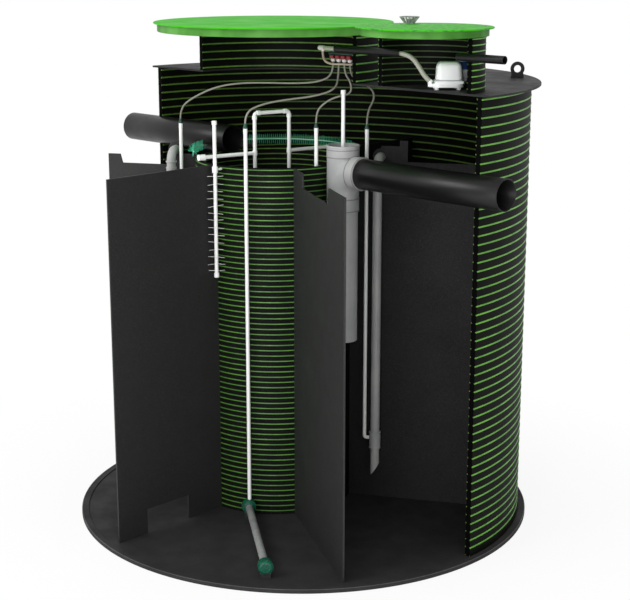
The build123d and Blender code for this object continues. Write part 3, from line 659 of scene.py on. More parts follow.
class Piece:
    """One piece of the visual model while it is being shaped, in metres."""

    def __init__(self, name: str, finish: Finish, slot: Slot) -> None:
        """Start an empty piece.

        Args:
            name: the piece's name.
            finish: its finish.
            slot: the record's slot; it is stored on the piece and not used further.
        """
        self.name = name
        self.finish = finish
        self.slot = slot
        self.mesh = bmesh.new()

    def copy_node(self, node: str) -> "Piece":
        """Take over the mesh of a CAD node, with its flat faces merged.

        Args:
            node: the node's name.

        Returns:
            This piece.
        """
        self.mesh.from_mesh(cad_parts[node].data)
        bmesh.ops.remove_doubles(self.mesh, verts=self.mesh.verts, dist=0.00002)
        bmesh.ops.dissolve_limit(
            self.mesh,
            angle_limit=math.radians(0.6),
            use_dissolve_boundaries=False,
            verts=self.mesh.verts,
            edges=self.mesh.edges,
            delimit={"NORMAL"},
        )
        return self

    def lathe(
        self,
        profile: Profile,
        centre: Point,
        steps: int = 96,
        start: float = 0.0,
        sweep: float = 360.0,
        axis: Optional[Vector] = None,
    ) -> None:
        """Spin a closed profile round an axis.

        Args:
            profile: radius and height of each point, in metres.
            centre: a point on the axis, at height zero of the profile.
            steps: number of steps round.
            start: bearing of the first step in degrees.
            sweep: turn in degrees.
            axis: direction of the axis, up where none is given.
        """
        ring = bmesh.new()
        turn = math.radians(start)
        verts = [
            ring.verts.new((radius * math.cos(turn), radius * math.sin(turn), height))
            for radius, height in profile
        ]
        edges = [ring.edges.new(pair) for pair in zip(verts, verts[1:] + verts[:1])]
        full = sweep >= FULL_TURN
        bmesh.ops.spin(
            ring,
            geom=verts + edges,
            cent=(0, 0, 0),
            axis=(0, 0, 1),
            dvec=(0, 0, 0),
            angle=math.radians(sweep),
            steps=steps,
            use_merge=full,
            use_normal_flip=False,
            use_duplicate=False,
        )
        bmesh.ops.remove_doubles(ring, verts=ring.verts, dist=0.000005)
        if not full:
            rim = [edge for edge in ring.edges if edge.is_boundary]
            bmesh.ops.holes_fill(ring, edges=rim, sides=0)
        tilt = facing(axis) if axis is not None else Matrix.Identity(4)
        bmesh.ops.transform(ring, matrix=Matrix.Translation(Vector(centre)) @ tilt, verts=ring.verts)
        bmesh.ops.recalc_face_normals(ring, faces=ring.faces)
        self.absorb(ring)

    def absorb(self, other: bmesh.types.BMesh) -> None:
        """Add another mesh to this piece and free it.

        Args:
            other: the mesh.
        """
        data = bpy.data.meshes.new("part")
        other.to_mesh(data)
        other.free()
        self.mesh.from_mesh(data)
        bpy.data.meshes.remove(data)

    def tube(
        self,
        start: Vector,
        end: Vector,
        radius: float,
        sides: int = 16,
        end_radius: Optional[float] = None,
    ) -> None:
        """Add a closed round bar between two points.

        Args:
            start: one end.
            end: the other end.
            radius: its radius.
            sides: faces round it.
            end_radius: radius at the other end, where it isn't the same.
        """
        along = end - start
        made = bmesh.ops.create_cone(
            self.mesh,
            cap_ends=True,
            cap_tris=False,
            segments=sides,
            radius1=radius,
            radius2=radius if end_radius is None else end_radius,
            depth=along.length,
        )
        place = Matrix.Translation((start + end) / 2) @ facing(along)
        bmesh.ops.transform(self.mesh, matrix=place, verts=made["verts"])

    def block(self, low: Point, high: Point) -> None:
        """Add a box between two corners.

        Args:
            low: the lowest corner.
            high: the highest corner.
        """
        bmesh.ops.create_cube(self.mesh, size=1.0, matrix=box_matrix(low, high))

    def publish(
        self,
        replaces: Iterable[str] = (),
        bevel: float = 0.0,
        smooth: float = 35.0,
    ) -> None:
        """Turn the piece into an object that rides on the root body.

        Args:
            replaces: the CAD nodes that it stands for.
            bevel: width of the bevel on its edges in metres.
            smooth: the angle in degrees up to which faces shade as one.
        """
        data = bpy.data.meshes.new(self.name)
        self.mesh.to_mesh(data)
        self.mesh.free()
        made = bpy.data.objects.new(self.name, data)
        bpy.context.scene.collection.objects.link(made)
        data.materials.append(coat_of(self.finish))
        data.polygons.foreach_set("use_smooth", [True] * len(data.polygons))
        data.set_sharp_from_angle(angle=math.radians(smooth))
        if bevel > 0:
            edge = made.modifiers.new("edge", "BEVEL")
            edge.width = bevel
            edge.segments = 2
            edge.limit_method = "ANGLE"
            edge.angle_limit = math.radians(smooth)
            edge.harden_normals = True
        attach(made, "root")
        if replaces:
            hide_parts(*replaces)
        log.info("%s: %d faces", self.name, len(data.polygons))


def dress(finish: Finish, *nodes: str) -> None:
    """Give CAD nodes a better material.

    Args:
        finish: the finish.
        nodes: the nodes' names.
    """
    for node in nodes:
        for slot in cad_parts[node].material_slots:
            slot.material = coat_of(finish)
        log.info("%s: dressed in %s", node, finish.name)


def soften(finish: Finish, slot: Slot, node: str, bevel: float = 0.001) -> None:
    """Replace a CAD node with a copy that has rounded edges and smooth shading.

    Args:
        finish: the finish.
        slot: the record's slot.
        node: the node's name.
        bevel: width of the rounded edge in metres.
    """
    Piece(f"{node}_shown", finish, slot).copy_node(node).publish([node], bevel=bevel)


@dataclass
class WoundWall:
    """The weld seams of a wall that is wound from hollow strip, on one face of it."""

    name: str
    centre_x: float
    radius: float
    outward: bool
    bottom: float
    top: float
    pitch: float
    start: float = 0.0
    sweep: float = 180.0
    steps: int = 64
    height: float = 0.0092
    proud: float = 0.0022
    sunk: float = 0.0006
    ease: float = 0.0007
    shoulder: float = 0.8
    hole_radius: float = 0.083
    pipes: list[tuple[float, float]] = field(default_factory=list)
    finish: Plastic = SEAM_GREEN

    def _trim(self, level: float, bearing: float) -> float:
        """Give the degrees that a pipe's hole takes off a seam's end.

        Args:
            level: the seam's height.
            bearing: the bearing of that end.

        Returns:
            The degrees to leave out.
        """
        lost = 0.0
        for side, pipe_height in self.pipes:
            reach = self.hole_radius**2 - (level - pipe_height) ** 2
            if abs(side - bearing) < 1.0 and reach > 0:
                lost = max(lost, math.degrees(math.asin(math.sqrt(reach) / self.radius)))
        return lost

    def build(self) -> None:
        """Build all seams as one piece."""
        piece = Piece(self.name, self.finish, Slot.WALL)
        side = 1.0 if self.outward else -1.0
        foot = self.radius - side * self.sunk
        crest = self.radius + side * self.proud
        brow = crest - side * self.ease
        half = self.height / 2
        slope = half * self.shoulder
        profile = [(foot, -half), (brow, -slope), (crest, 0.0), (brow, slope), (foot, half)]
        level = self.bottom
        while level < self.top:
            first = self._trim(level, self.start)
            last = self._trim(level, self.start + self.sweep)
            piece.lathe(
                profile,
                (self.centre_x, 0.0, level),
                steps=self.steps,
                start=self.start + first,
                sweep=self.sweep - first - last,
            )
            level += self.pitch
        piece.publish(smooth=50.0)


@dataclass
class Tank:
    """Base, wound wall, deck and lifting eyes."""

    seam_pitch: float = 0.0441
    top_seam: float = 2.3557
    seam_count: int = 53
    seam_clear: float = 0.006
    wall_thickness: float = 0.03
    pipe_radius: float = 0.08
    edge_reach: float = 0.0005
    edge_width: float = 0.006
    edge_ease: float = 0.001
    edge_sunk: float = 0.002
    edge_proud: float = 0.0015

    def build(self) -> None:
        """Build the tank."""
        soften(BASE_BLACK, Slot.BASE, "base_plate", 0.0015)
        self._base_edge()
        soften(DECK_GREY, Slot.DECK, "deck_plate", 0.0)
        soften(EYE_DARK, Slot.DECK, "lifting_eyes", 0.002)
        low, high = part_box("tank_wall_2")
        outer = high.y
        inner = outer - self.wall_thickness
        wall = CutWall("tank_wall", BLACK_WALL.colour, 0.0, inner, outer, self.top_seam, self.seam_pitch)
        dress(wall, "tank_wall_1", "tank_wall_2", "tank_wall_3")
        lowest = self.top_seam - self.seam_pitch * (self.seam_count - 1)
        pipes = [
            (bearing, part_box(pipe)[0].z + self.pipe_radius)
            for bearing, pipe in ((0.0, "outlet_pipe"), (180.0, "inlet_pipe"))
        ]
        for side, radius, finish in (("outer", outer, SEAM_GREEN), ("inner", inner, SEAM_OLIVE)):
            WoundWall(
                f"tank_seams_{side}",
                0.0,
                radius,
                side == "outer",
                max(lowest, low.z + self.seam_clear),
                high.z - self.seam_clear,
                self.seam_pitch,
                steps=72,
                pipes=pipes,
                finish=finish,
            ).build()

    def _base_edge(self) -> None:
        """Build a pale ring along the base's upper edge: a painted highlight on the edge."""
        low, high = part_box("base_plate")
        outer = (high.x - low.x) / 2 - self.edge_reach
        inner = (high.x - low.x) / 2 - self.edge_width
        foot = high.z - self.edge_sunk
        crest = high.z + self.edge_proud
        ease = self.edge_ease
        line = Piece("base_edge_highlight", EDGE_HIGHLIGHT_GREY, Slot.BASE)
        line.lathe(
            [(inner, foot), (outer, foot), (outer - ease, crest), (inner + ease, crest)],
            ((high.x + low.x) / 2, (high.y + low.y) / 2, 0.0),
            steps=240,
        )
        line.publish(smooth=30.0)


@dataclass
class Neck:
    """The seams of an access neck, which is the same wound wall."""

    name: str
    seam_pitch: float = 0.0441
    first_rise: float = 0.012
    seam_height: float = 0.0085
    inner_finish: Plastic = SEAM_OLIVE
    seam_clear: float = 0.004
    wall_thickness: float = 0.028

    def build(self) -> None:
        """Dress the neck and build its seams."""
        low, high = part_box(self.name)
        centre_x = (low.x + high.x) / 2
        outer = (high.x - low.x) / 2
        inner = outer - self.wall_thickness
        first = low.z + self.first_rise
        wall = CutWall(self.name, BLACK_WALL.colour, centre_x, inner, outer, first, self.seam_pitch)
        dress(wall, self.name)
        for side, radius, finish in (("outer", outer, SEAM_GREEN), ("inner", inner, self.inner_finish)):
            WoundWall(
                f"{self.name}_seams_{side}",
                centre_x,
                radius,
                side == "outer",
                first,
                high.z - self.seam_clear,
                self.seam_pitch,
                steps=56,
                height=self.seam_height,
                finish=finish,
            ).build()


@dataclass
class Lid:
    """A lid: a plate with a thin rim, and a skirt set in below it."""

    name: str
    finish: Finish
    slot: Slot
    skirt: float
    overhang: float
    rise: float = 0.0
    plate: float = 0.007
    edge_round: float = 0.002
    skirt_gap: float = 0.003
    skirt_wall: float = 0.012
    steps: int = 180

    def build(self) -> None:
        """Build plate and skirt."""
        low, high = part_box(self.name)
        centre = ((low.x + high.x) / 2, (low.y + high.y) / 2, 0.0)
        edge = (high.x - low.x) / 2
        top = high.z + self.rise
        seat = top - self.plate
        rim = self.edge_round
        disc = Piece(f"{self.name}_shown", self.finish, self.slot)
        disc.lathe(
            [
                (0.0, seat),
                (edge - rim, seat),
                (edge, seat + rim),
                (edge, top - rim),
                (edge - rim, top),
                (edge / 2, top),
                (0.0, top),
            ],
            centre,
            steps=self.steps,
        )
        disc.publish([self.name], smooth=40.0)
        inner = edge - self.overhang + self.skirt_gap
        outer = inner + self.skirt_wall
        foot = seat - self.skirt
        # The skirt's paler, clouded green is painted sheen.
        side = Piece(f"{self.name}_skirt", LID_SIDE_PAINTED_SHEEN, self.slot)
        side.lathe(
            [
                (inner, foot),
                (outer - rim, foot),
                (outer, foot + rim),
                (outer, seat + rim),
                (inner, seat + rim),
            ],
            centre,
            steps=self.steps,
        )
        side.publish(smooth=40.0)


@dataclass
class Cowl:
    """The vent cowl on the small lid: a foot ring, a core, slanted slats and a rim."""

    rise: float
    centre: tuple[float, float] = (0.640, 0.118)
    foot_radius: float = 0.027
    foot_height: float = 0.006
    core_radius: float = 0.012
    core_drop: float = 0.012
    rim_width: float = 0.009
    rim_height: float = 0.004
    slats: int = 16
    slat_radius: float = 0.0026
    slat_end_radius: float = 0.0034
    slat_foot: tuple[float, float] = (0.003, 0.004)
    slat_head: tuple[float, float] = (0.004, 0.003)
    flare: float = 0.002

    def build(self) -> None:
        """Build the cowl."""
        low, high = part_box("vent_cowl")
        place = (*self.centre, low.z + self.rise)
        height = high.z - low.z - self.rise
        foot = self.foot_radius
        foot_top = self.foot_height
        crown = (high.x - low.x) / 2
        eave = crown - self.rim_width
        core = self.core_radius
        core_top = height - self.core_drop
        rim_foot = height - self.rim_height
        ring = [(0.0, 0.0), (foot, 0.0), (foot + self.flare, foot_top), (0.0, foot_top)]
        rim = [(eave, rim_foot), (crown, rim_foot), (crown, height), (eave, height)]
        stem = [(0.0, 0.0), (core, 0.0), (core + self.flare, core_top), (0.0, core_top)]
        piece = Piece("vent_cowl_shown", COWL_GREY, Slot.AGED_LID)
        for profile, steps in ((ring, 48), (rim, 48), (stem, 24)):
            piece.lathe(profile, place, steps=steps)
        foot_inset, foot_rise = self.slat_foot
        head_inset, head_drop = self.slat_head
        for number in range(self.slats):
            turn = math.tau * number / self.slats
            out = Vector((math.cos(turn), math.sin(turn), 0.0))
            start = Vector(place) + out * (foot - foot_inset) + Vector((0.0, 0.0, foot_rise))
            end = Vector(place) + out * (crown - head_inset) + Vector((0.0, 0.0, height - head_drop))
            piece.tube(start, end, self.slat_radius, sides=6, end_radius=self.slat_end_radius)
        piece.publish(["vent_cowl"], smooth=40.0)


@dataclass
class Lids:
    """The plain large lid and the pressed small lid with its vent cowl."""

    small_rise: float = 0.011
    top_depth: float = 0.001

    def build(self) -> None:
        """Build both lids and the cowl."""
        rise = self.small_rise
        cowl = Cowl(rise)
        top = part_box("small_lid")[1].z + rise
        # Small lid colours: its green, the pale colour of the painted glints round the cowl, and the
        # darker green of the painted shade in the wrinkles' hollows.
        pressed = WrinkledLid(
            "pressed_green",
            (62, 184, 16),
            (176, 240, 160),
            (38, 142, 22),
            wrinkle_scale=30.0,
            wrinkle_depth=0.007,
            glint_centre=(*cowl.centre, top),
            top_level=top - self.top_depth,
        )
        Lid("large_lid", LID_GREEN, Slot.LID, skirt=0.041, overhang=0.035).build()
        Lid("small_lid", pressed, Slot.AGED_LID, skirt=0.036, overhang=0.040, rise=rise).build()
        cowl.build()


@dataclass
class Reactor:
    """The inner cylinder with its finer seams, and the partitions round it.

    The seams run in arcs of a start and a sweep in degrees; the outer ones leave out the bearings
    that face the right chamber.
    """

    seam_pitch: float = 0.0296
    first_seam: float = 0.0359
    seam_clear: float = 0.003
    seam_height: float = 0.0066
    seam_proud: float = 0.002
    wall_thickness: float = 0.026
    outer_arcs: tuple[tuple[float, float], ...] = ((46.0, 134.0), (180.0, 198.0))
    inner_arcs: tuple[tuple[float, float], ...] = ((0.0, 180.0), (180.0, 180.0))
    shaded: tuple[str, ...] = ("partition_right", "partition_rear", "partition_rear_left")

    def build(self) -> None:
        """Build the cylinder's seams and the partitions."""
        dress(BLACK_WALL, "reactor_shell_1", "reactor_shell_2")
        low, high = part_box("reactor_shell_1")
        outer = (high.x - low.x) / 2
        for side, radius, arcs, finish in (
            ("outer", outer, self.outer_arcs, SEAM_MOSS_PAINTED_SHADE),
            ("inner", outer - self.wall_thickness, self.inner_arcs, SEAM_OLIVE),
        ):
            for number, (start, sweep) in enumerate(arcs):
                WoundWall(
                    f"reactor_seams_{side}_{number * 180}",
                    (low.x + high.x) / 2,
                    radius,
                    side == "outer",
                    self.first_seam,
                    high.z - self.seam_clear,
                    self.seam_pitch,
                    start,
                    sweep,
                    steps=48,
                    height=self.seam_height,
                    proud=self.seam_proud,
                    finish=finish,
                ).build()
        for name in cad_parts:
            if name.startswith("partition_"):
                soften(PLATE_DARK if name in self.shaded else PLATE_GREY, Slot.PLATE, name, 0.0015)


@dataclass
class SewerPipes:
    """The black inlet and outlet pipes, the ducts, the drop pipe and the outlet tee."""

    wall: float = 0.005
    collar: float = 0.004
    rim_round: float = 0.0015
    tee_x: float = 0.297
    branch_level: float = 1.915
    ring_radius: float = 0.0885
    ring_depth: float = 0.0045
    ring_half: float = 0.0024
    ring_ease: float = 0.001
    ring_levels: tuple[float, ...] = (2.033, 1.994, 1.774, 1.711)
    ring_reaches: tuple[float, ...] = (0.383, 0.435)

    def _straight(self, name: str) -> None:
        """Turn one straight pipe on the cut plane, open at both ends, without its collar.

        Args:
            name: the CAD node that it stands for.
        """
        low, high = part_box(name)
        radius = (high.z - low.z) / 2 - self.collar
        bore = radius - self.wall
        rim = self.rim_round
        profile = [
            (bore, low.x + rim),
            (bore + rim, low.x),
            (radius - rim, low.x),
            (radius, low.x + rim),
            (radius, high.x - rim),
            (radius - rim, high.x),
            (bore + rim, high.x),
            (bore, high.x - rim),
        ]
        piece = Piece(f"{name}_shown", PIPE_BLACK, Slot.SEWER_PIPE)
        piece.lathe(profile, (0.0, 0.0, (low.z + high.z) / 2), axis=ALONG_X)
        piece.publish([name], smooth=50.0)

    def _ring(self, place: float) -> Profile:
        """Give the profile of a raised ring round the tee.

        Args:
            place: the middle of the ring along its axis.

        Returns:
            The profile's points.
        """
        half = self.ring_half
        crest = self.ring_radius
        return band(crest - self.ring_depth, crest, place - half, place + half, self.ring_ease, half / 2)

    def build(self) -> None:
        """Build the pipes."""
        for name in ("inlet_pipe", "outlet_pipe"):
            self._straight(name)
        for name in ("hose_duct", "cable_duct"):
            soften(PIPE_BLACK, Slot.SEWER_PIPE, name)
        soften(DROP_GREY, Slot.SEWER_PIPE, "drop_pipe")
        soften(FITTING_GREY, Slot.FITTING, "outlet_tee")
        # The rings are raised bands; their darker grey is painted shade of the joint gaps.
        rings = Piece("outlet_tee_rings", JOINT_SHADE_GREY, Slot.FITTING)
        for level in self.ring_levels:
            rings.lathe(self._ring(level), (self.tee_x, 0.0, 0.0), steps=72)
        for reach in self.ring_reaches:
            rings.lathe(self._ring(reach), (0.0, 0.0, self.branch_level), steps=72, axis=ALONG_X)
        rings.publish(smooth=50.0)


@dataclass
class AirLifts:
    """The two grey air lifts with the beads of their sockets."""

    leg_inset: float = 0.031
    pipe_radius: float = 0.0245
    bead_radius: float = 0.0305
    foot_radius: float = 0.0325
    bead_half: float = 0.0045
    bead_ease: float = 0.001
    bead_levels: tuple[float, ...] = (1.871, 1.905)
    foot_levels: tuple[float, ...] = (0.338, 0.425)

    def build(self) -> None:
        """Build both lifts."""
        half = self.bead_half
        sockets = [(self.bead_radius, level) for level in self.bead_levels]
        sockets += [(self.foot_radius, level) for level in self.foot_levels]
        for name in ("air_lift_left", "air_lift_right"):
            soften(LIFT_GREY, Slot.FITTING, name, 0.0006)
            low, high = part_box(name)
            leg = (high.x - self.leg_inset, low.y + self.leg_inset)
            beads = Piece(f"{name}_beads", LIFT_GREY, Slot.FITTING)
            for radius, level in sockets:
                profile = band(self.pipe_radius, radius, -half, half, self.bead_ease, half / 2)
                beads.lathe(profile, (*leg, level), steps=40)
            beads.publish(smooth=60.0)


@dataclass
class AirPipes:
    """The white pipes with their sockets and caps, and the couplings of the hoses."""

    pipes: tuple[str, ...] = (
        "tee_riser",
        "lift_air_pipe_left",
        "lift_air_pipe_right",
        "diffuser_air_pipe",
        "reactor_air_pipe",
        "reactor_loop",
    )
    end_drop: float = 0.052
    end_radius: float = 0.0108
    cone_drop: float = 0.024
    cone_radius: float = 0.0118
    cone_top_radius: float = 0.0062
    cone_foot: tuple[float, float] = (-0.002, 0.004)

    def build(self) -> None:
        """Build the pipes, their ends and the couplings."""
        for name in self.pipes:
            soften(PIPE_WHITE, Slot.AIR_PIPE, name, 0.0006)
        couplings = Piece("hose_couplings_shown", COUPLING_TEAL, Slot.COUPLING)
        ends = Piece("air_pipe_ends", PIPE_WHITE, Slot.AIR_PIPE)
        foot, shoulder = (level - self.cone_drop for level in self.cone_foot)
        cone = [
            (0.0, foot),
            (self.cone_radius, foot),
            (self.cone_radius, shoulder),
            (self.cone_top_radius, 0.0),
            (0.0, 0.0),
        ]
        for hose in AIR_HOSES:
            x, y, top = (value * MM for value in hose.points[-1])
            pipe_end = Vector((x, y, top - self.end_drop))
            ends.tube(pipe_end, Vector((x, y, top - self.cone_drop)), self.end_radius, sides=28)
            couplings.lathe(cone, (x, y, top), steps=28)
        couplings.publish(["hose_couplings"], smooth=40.0)
        ends.publish(smooth=40.0)


@dataclass
class FinnedPipe:
    """The white pipe with rows of thin rods that hangs in front of the reactor."""

    place: tuple[float, float] = (-0.175, -0.478)
    hub: tuple[float, float] = (-0.221, 0.0)
    radius: float = 0.01
    end_clear: float = 0.002
    sockets: tuple[tuple[float, float, float], ...] = (
        (1.908, 1.942, 0.0155),
        (1.346, 1.372, 0.0135),
        (2.160, 2.182, 0.0135),
    )
    socket_bore: float = 0.004
    socket_ease: float = 0.002
    socket_slope: float = 0.003
    arm_level: float = 1.925
    arm_length: float = 0.05
    arm_radius: float = 0.006
    rod_radius: float = 0.0013
    rod_taper: float = 0.75
    reach: float = 0.046
    rows: int = 14
    top_row: float = 1.888
    pitch: float = 0.039
    seed: int = 11

    def _pipe(self) -> None:
        """Build the pipe with its sockets and the arm that holds it."""
        low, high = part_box("finned_pipe")
        pipe = Piece("finned_pipe_tube", PIPE_WHITE, Slot.AIR_PIPE)
        foot = Vector((*self.place, low.z + self.end_clear))
        head = Vector((*self.place, high.z - self.end_clear))
        pipe.tube(foot, head, self.radius, sides=32)
        for bottom, top, radius in self.sockets:
            profile = band(self.socket_bore, radius, bottom, top, self.socket_ease, self.socket_slope)
            pipe.lathe(profile, (*self.place, 0.0), steps=32)
        start = Vector((*self.place, self.arm_level))
        arm = (Vector((*self.hub, 0.0)) - Vector((*self.place, 0.0))).normalized()
        pipe.tube(start, start + arm * self.arm_length, self.arm_radius, sides=12)
        pipe.publish(["finned_pipe"], smooth=40.0)

    def _rods(self) -> None:
        """Build the rows of rods, four to a row and each a little off its place."""
        rods = Piece("finned_pipe_rods", ROD_WHITE, Slot.AIR_PIPE)
        draw = random.Random(self.seed)
        for row in range(self.rows):
            level = self.top_row - row * self.pitch
            spin = math.radians(45.0) + draw.uniform(-0.35, 0.35)
            for quarter in range(4):
                bearing = spin + quarter * math.pi / 2
                share = draw.uniform(0.86, 1.0) if quarter % 2 == 0 else draw.uniform(0.6, 0.8)
                length = self.reach * share
                drop = draw.uniform(-0.006, 0.005)
                root = Vector((*self.place, level + draw.uniform(-0.002, 0.002)))
                tip = root + Vector((math.cos(bearing) * length, math.sin(bearing) * length, drop))
                thin = self.rod_radius * self.rod_taper
                rods.tube(root, tip, self.rod_radius, sides=6, end_radius=thin)
        rods.publish(smooth=60.0)

    def build(self) -> None:
        """Build pipe and rods."""
        self._pipe()
        self._rods()


@dataclass
class Diffuser:
    """The porous tube on the floor and its caps, whose lower part takes the base's dark colour as
    painted shadow under them.
    """

    foot_top: float = 0.0405

    def build(self) -> None:
        """Build the tube, and cut the caps and their dark lower part, painted shadow, from one solid."""
        soften(MEMBRANE, Slot.DIFFUSER, "diffuser_tube", 0.0)
        # Below foot_top the caps take the base's dark colour: painted shadow under them.
        for name, finish, slot, above in (
            ("diffuser_caps_shown", TEAL, Slot.FITTING, True),
            ("diffuser_caps_painted_shadow", BASE_BLACK, Slot.BASE, False),
        ):
            piece = Piece(name, finish, slot).copy_node("diffuser_caps")
            bmesh.ops.bisect_plane(
                piece.mesh,
                geom=[*piece.mesh.verts, *piece.mesh.edges, *piece.mesh.faces],
                plane_co=(0.0, 0.0, self.foot_top),
                plane_no=(0.0, 0.0, 1.0),
                clear_inner=above,
                clear_outer=not above,
            )
            rims = [edge for edge in piece.mesh.edges if edge.is_boundary]
            bmesh.ops.holes_fill(piece.mesh, edges=rims, sides=0)
            piece.publish(["diffuser_caps"] if above else (), bevel=0.0006, smooth=30.0)


@dataclass
class BrushRing:
    """A bottle brush laid round the reactor's rim: a core with discs of bristles.

    The first two rolls of a disc lie level and are thick; the others are thin.
    """

    centre_x: float = -0.221
    ring_radius: float = 0.446
    brush_radius: float = 0.030
    level: float = 1.981
    core_radius: float = 0.0038
    disc_pitch: float = 0.0118
    rolls: tuple[float, ...] = (90.0, 270.0, 0.0, 180.0, 48.0, 228.0)
    roll_play: float = 7.0
    bristle_radius: float = 0.0015
    side_share: float = 0.4
    tip_share: float = 0.7
    lean: float = 0.05
    shortest: float = 0.88
    core_step: float = 3.0
    arcs: tuple[tuple[float, float], ...] = ((60.0, 165.0), (200.0, 236.0))
    seed: int = 5

    def _core_point(self, bearing: float) -> Vector:
        """Give a point of the core.

        Args:
            bearing: its bearing round the ring in degrees.

        Returns:
            The point.
        """
        turn = math.radians(bearing)
        reach = self.ring_radius
        return Vector((self.centre_x + reach * math.cos(turn), reach * math.sin(turn), self.level))

    def _core(self) -> None:
        """Build the core of both arcs."""
        core = Piece("brush_core", CORE, Slot.BRUSH)
        for start, stop in self.arcs:
            spans = int((stop - start) / self.core_step)
            marks = [start + (stop - start) * step / spans for step in range(spans + 1)]
            for first, second in zip(marks, marks[1:]):
                core.tube(self._core_point(first), self._core_point(second), self.core_radius, sides=8)
        core.publish(["brush_ring"], smooth=60.0)

    def build(self) -> None:
        """Build core and bristles."""
        self._core()
        draw = random.Random(self.seed)
        for index, (start, stop) in enumerate(self.arcs):
            piece = Piece(f"brush_bristles_{index + 1}", BRISTLE, Slot.BRUSH)
            discs = int(math.radians(stop - start) * self.ring_radius / self.disc_pitch)
            for disc in range(discs):
                bearing = start + (disc + 0.5) / discs * (stop - start)
                turn = math.radians(bearing)
                outward = Vector((math.cos(turn), math.sin(turn), 0.0))
                along = Vector((-math.sin(turn), math.cos(turn), 0.0))
                root = self._core_point(bearing)
                for place, degrees in enumerate(self.rolls):
                    roll = math.radians(degrees + draw.uniform(-self.roll_play, self.roll_play))
                    thick = self.bristle_radius if place < 2 else self.bristle_radius * self.side_share
                    way = outward * math.cos(roll) + Vector((0.0, 0.0, math.sin(roll)))
                    lean = along * draw.uniform(-self.lean, self.lean)
                    tip = root + (way + lean) * self.brush_radius * draw.uniform(self.shortest, 1.0)
                    piece.tube(root, tip, thick, sides=4, end_radius=thick * self.tip_share)
            piece.publish(smooth=60.0)


@dataclass
class Manifold:
    """The valve manifold: a bar with four red taps and white nozzles, and the feed elbow."""

    tap_start: float = 0.199
    tap_pitch: float = 0.040
    tap_count: int = 4
    axis_y: float = 0.026
    nozzle_height: float = 0.017
    nozzle_radius: float = 0.0128
    nozzle_bore: float = 0.0055
    nozzle_tip_radius: float = 0.0075
    nozzle_cone: float = 0.006
    nozzle_ease: float = 0.003
    nozzle_shoulder: float = 0.002
    nozzle_lap: float = 0.001
    body_radius: float = 0.0095
    body_ease: float = 0.002
    handle_low: Point = (-0.006, -0.022, 0.004)
    handle_high: Point = (0.018, -0.014, 0.0)

    def build(self) -> None:
        """Build bar, taps and nozzles."""
        soften(MANIFOLD_TEAL, Slot.BRASS, "valve_manifold", 0.0008)
        soften(NOZZLE_WHITE, Slot.BRASS, "feed_elbow", 0.0006)
        low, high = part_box("manifold_taps")
        bodies = Piece("tap_bodies", TAP_RED, Slot.TAP)
        nozzles = Piece("tap_nozzles", NOZZLE_WHITE, Slot.TAP)
        split = low.z + self.nozzle_height
        radius = self.body_radius
        body = [
            (0.0, split),
            (radius, split),
            (radius, high.z - self.body_ease),
            (radius - self.body_ease, high.z),
            (0.0, high.z),
        ]
        tip = self.nozzle_radius
        nozzle = [
            (self.nozzle_bore, low.z),
            (self.nozzle_tip_radius, low.z),
            (tip, low.z + self.nozzle_cone),
            (tip, split - self.nozzle_shoulder),
            (tip - self.nozzle_ease, split + self.nozzle_lap),
            (self.nozzle_bore, split + self.nozzle_lap),
        ]
        for number in range(self.tap_count):
            x = self.tap_start + number * self.tap_pitch
            foot = (x, self.axis_y, 0.0)
            bodies.lathe(body, foot, steps=24)
            bodies.block(
                Vector((x, self.axis_y, split)) + Vector(self.handle_low),
                Vector((x, self.axis_y, high.z)) + Vector(self.handle_high),
            )
            nozzles.lathe(nozzle, foot, steps=28)
        bodies.publish(["manifold_taps"], bevel=0.0006)
        nozzles.publish(smooth=50.0)


@dataclass
class Box:
    """A box in the blower's own frame, with rounded upright and top edges."""

    low: Point
    high: Point
    edge: float
    taper: float = 1.0
    segments: int = 3

    @classmethod
    def centred(
        cls,
        size: tuple[float, float],
        shift: float,
        levels: tuple[float, float],
        edge: float,
        taper: float = 1.0,
        segments: int = 3,
    ) -> "Box":
        """Give a box that stands round the upright axis.

        Args:
            size: its length and depth.
            shift: how far it is moved along its length.
            levels: its lowest and its highest level.
            edge: radius of the rounding.
            taper: size of the top as a share of the foot.
            segments: steps in the rounding.

        Returns:
            The box.
        """
        length, depth = size
        foot, top = levels
        low = (-length / 2 + shift, -depth / 2, foot)
        return cls(low, (length / 2 + shift, depth / 2, top), edge, taper, segments)

    def publish(
        self, name: str, finish: Finish, slot: Slot, place: Matrix, replaces: Iterable[str] = ()
    ) -> None:
        """Turn the box into a piece.

        Args:
            name: the piece's name.
            finish: its finish.
            slot: the record's slot.
            place: the matrix from the blower's frame to the plant's.
            replaces: the CAD nodes that it stands for.
        """
        shape = bmesh.new()
        bmesh.ops.create_cube(shape, size=1.0, matrix=box_matrix(self.low, self.high))
        centre = (Vector(self.high) + Vector(self.low)) / 2
        bmesh.ops.scale(
            shape,
            vec=(self.taper, self.taper, 1.0),
            space=Matrix.Translation((-centre.x, -centre.y, 0.0)),
            verts=[vert for vert in shape.verts if vert.co.z > centre.z],
        )
        sides = [line for line in shape.edges if max(vert.co.z for vert in line.verts) > centre.z]
        bmesh.ops.bevel(
            shape,
            geom=sides,
            offset=self.edge,
            offset_type="OFFSET",
            segments=self.segments,
            profile=0.5,
            affect="EDGES",
            clamp_overlap=True,
            material=-1,
        )
        bmesh.ops.transform(shape, matrix=place, verts=shape.verts)
        bmesh.ops.recalc_face_normals(shape, faces=shape.faces)
        piece = Piece(name, finish, slot)
        piece.absorb(shape)
        piece.publish(replaces, smooth=60.0)


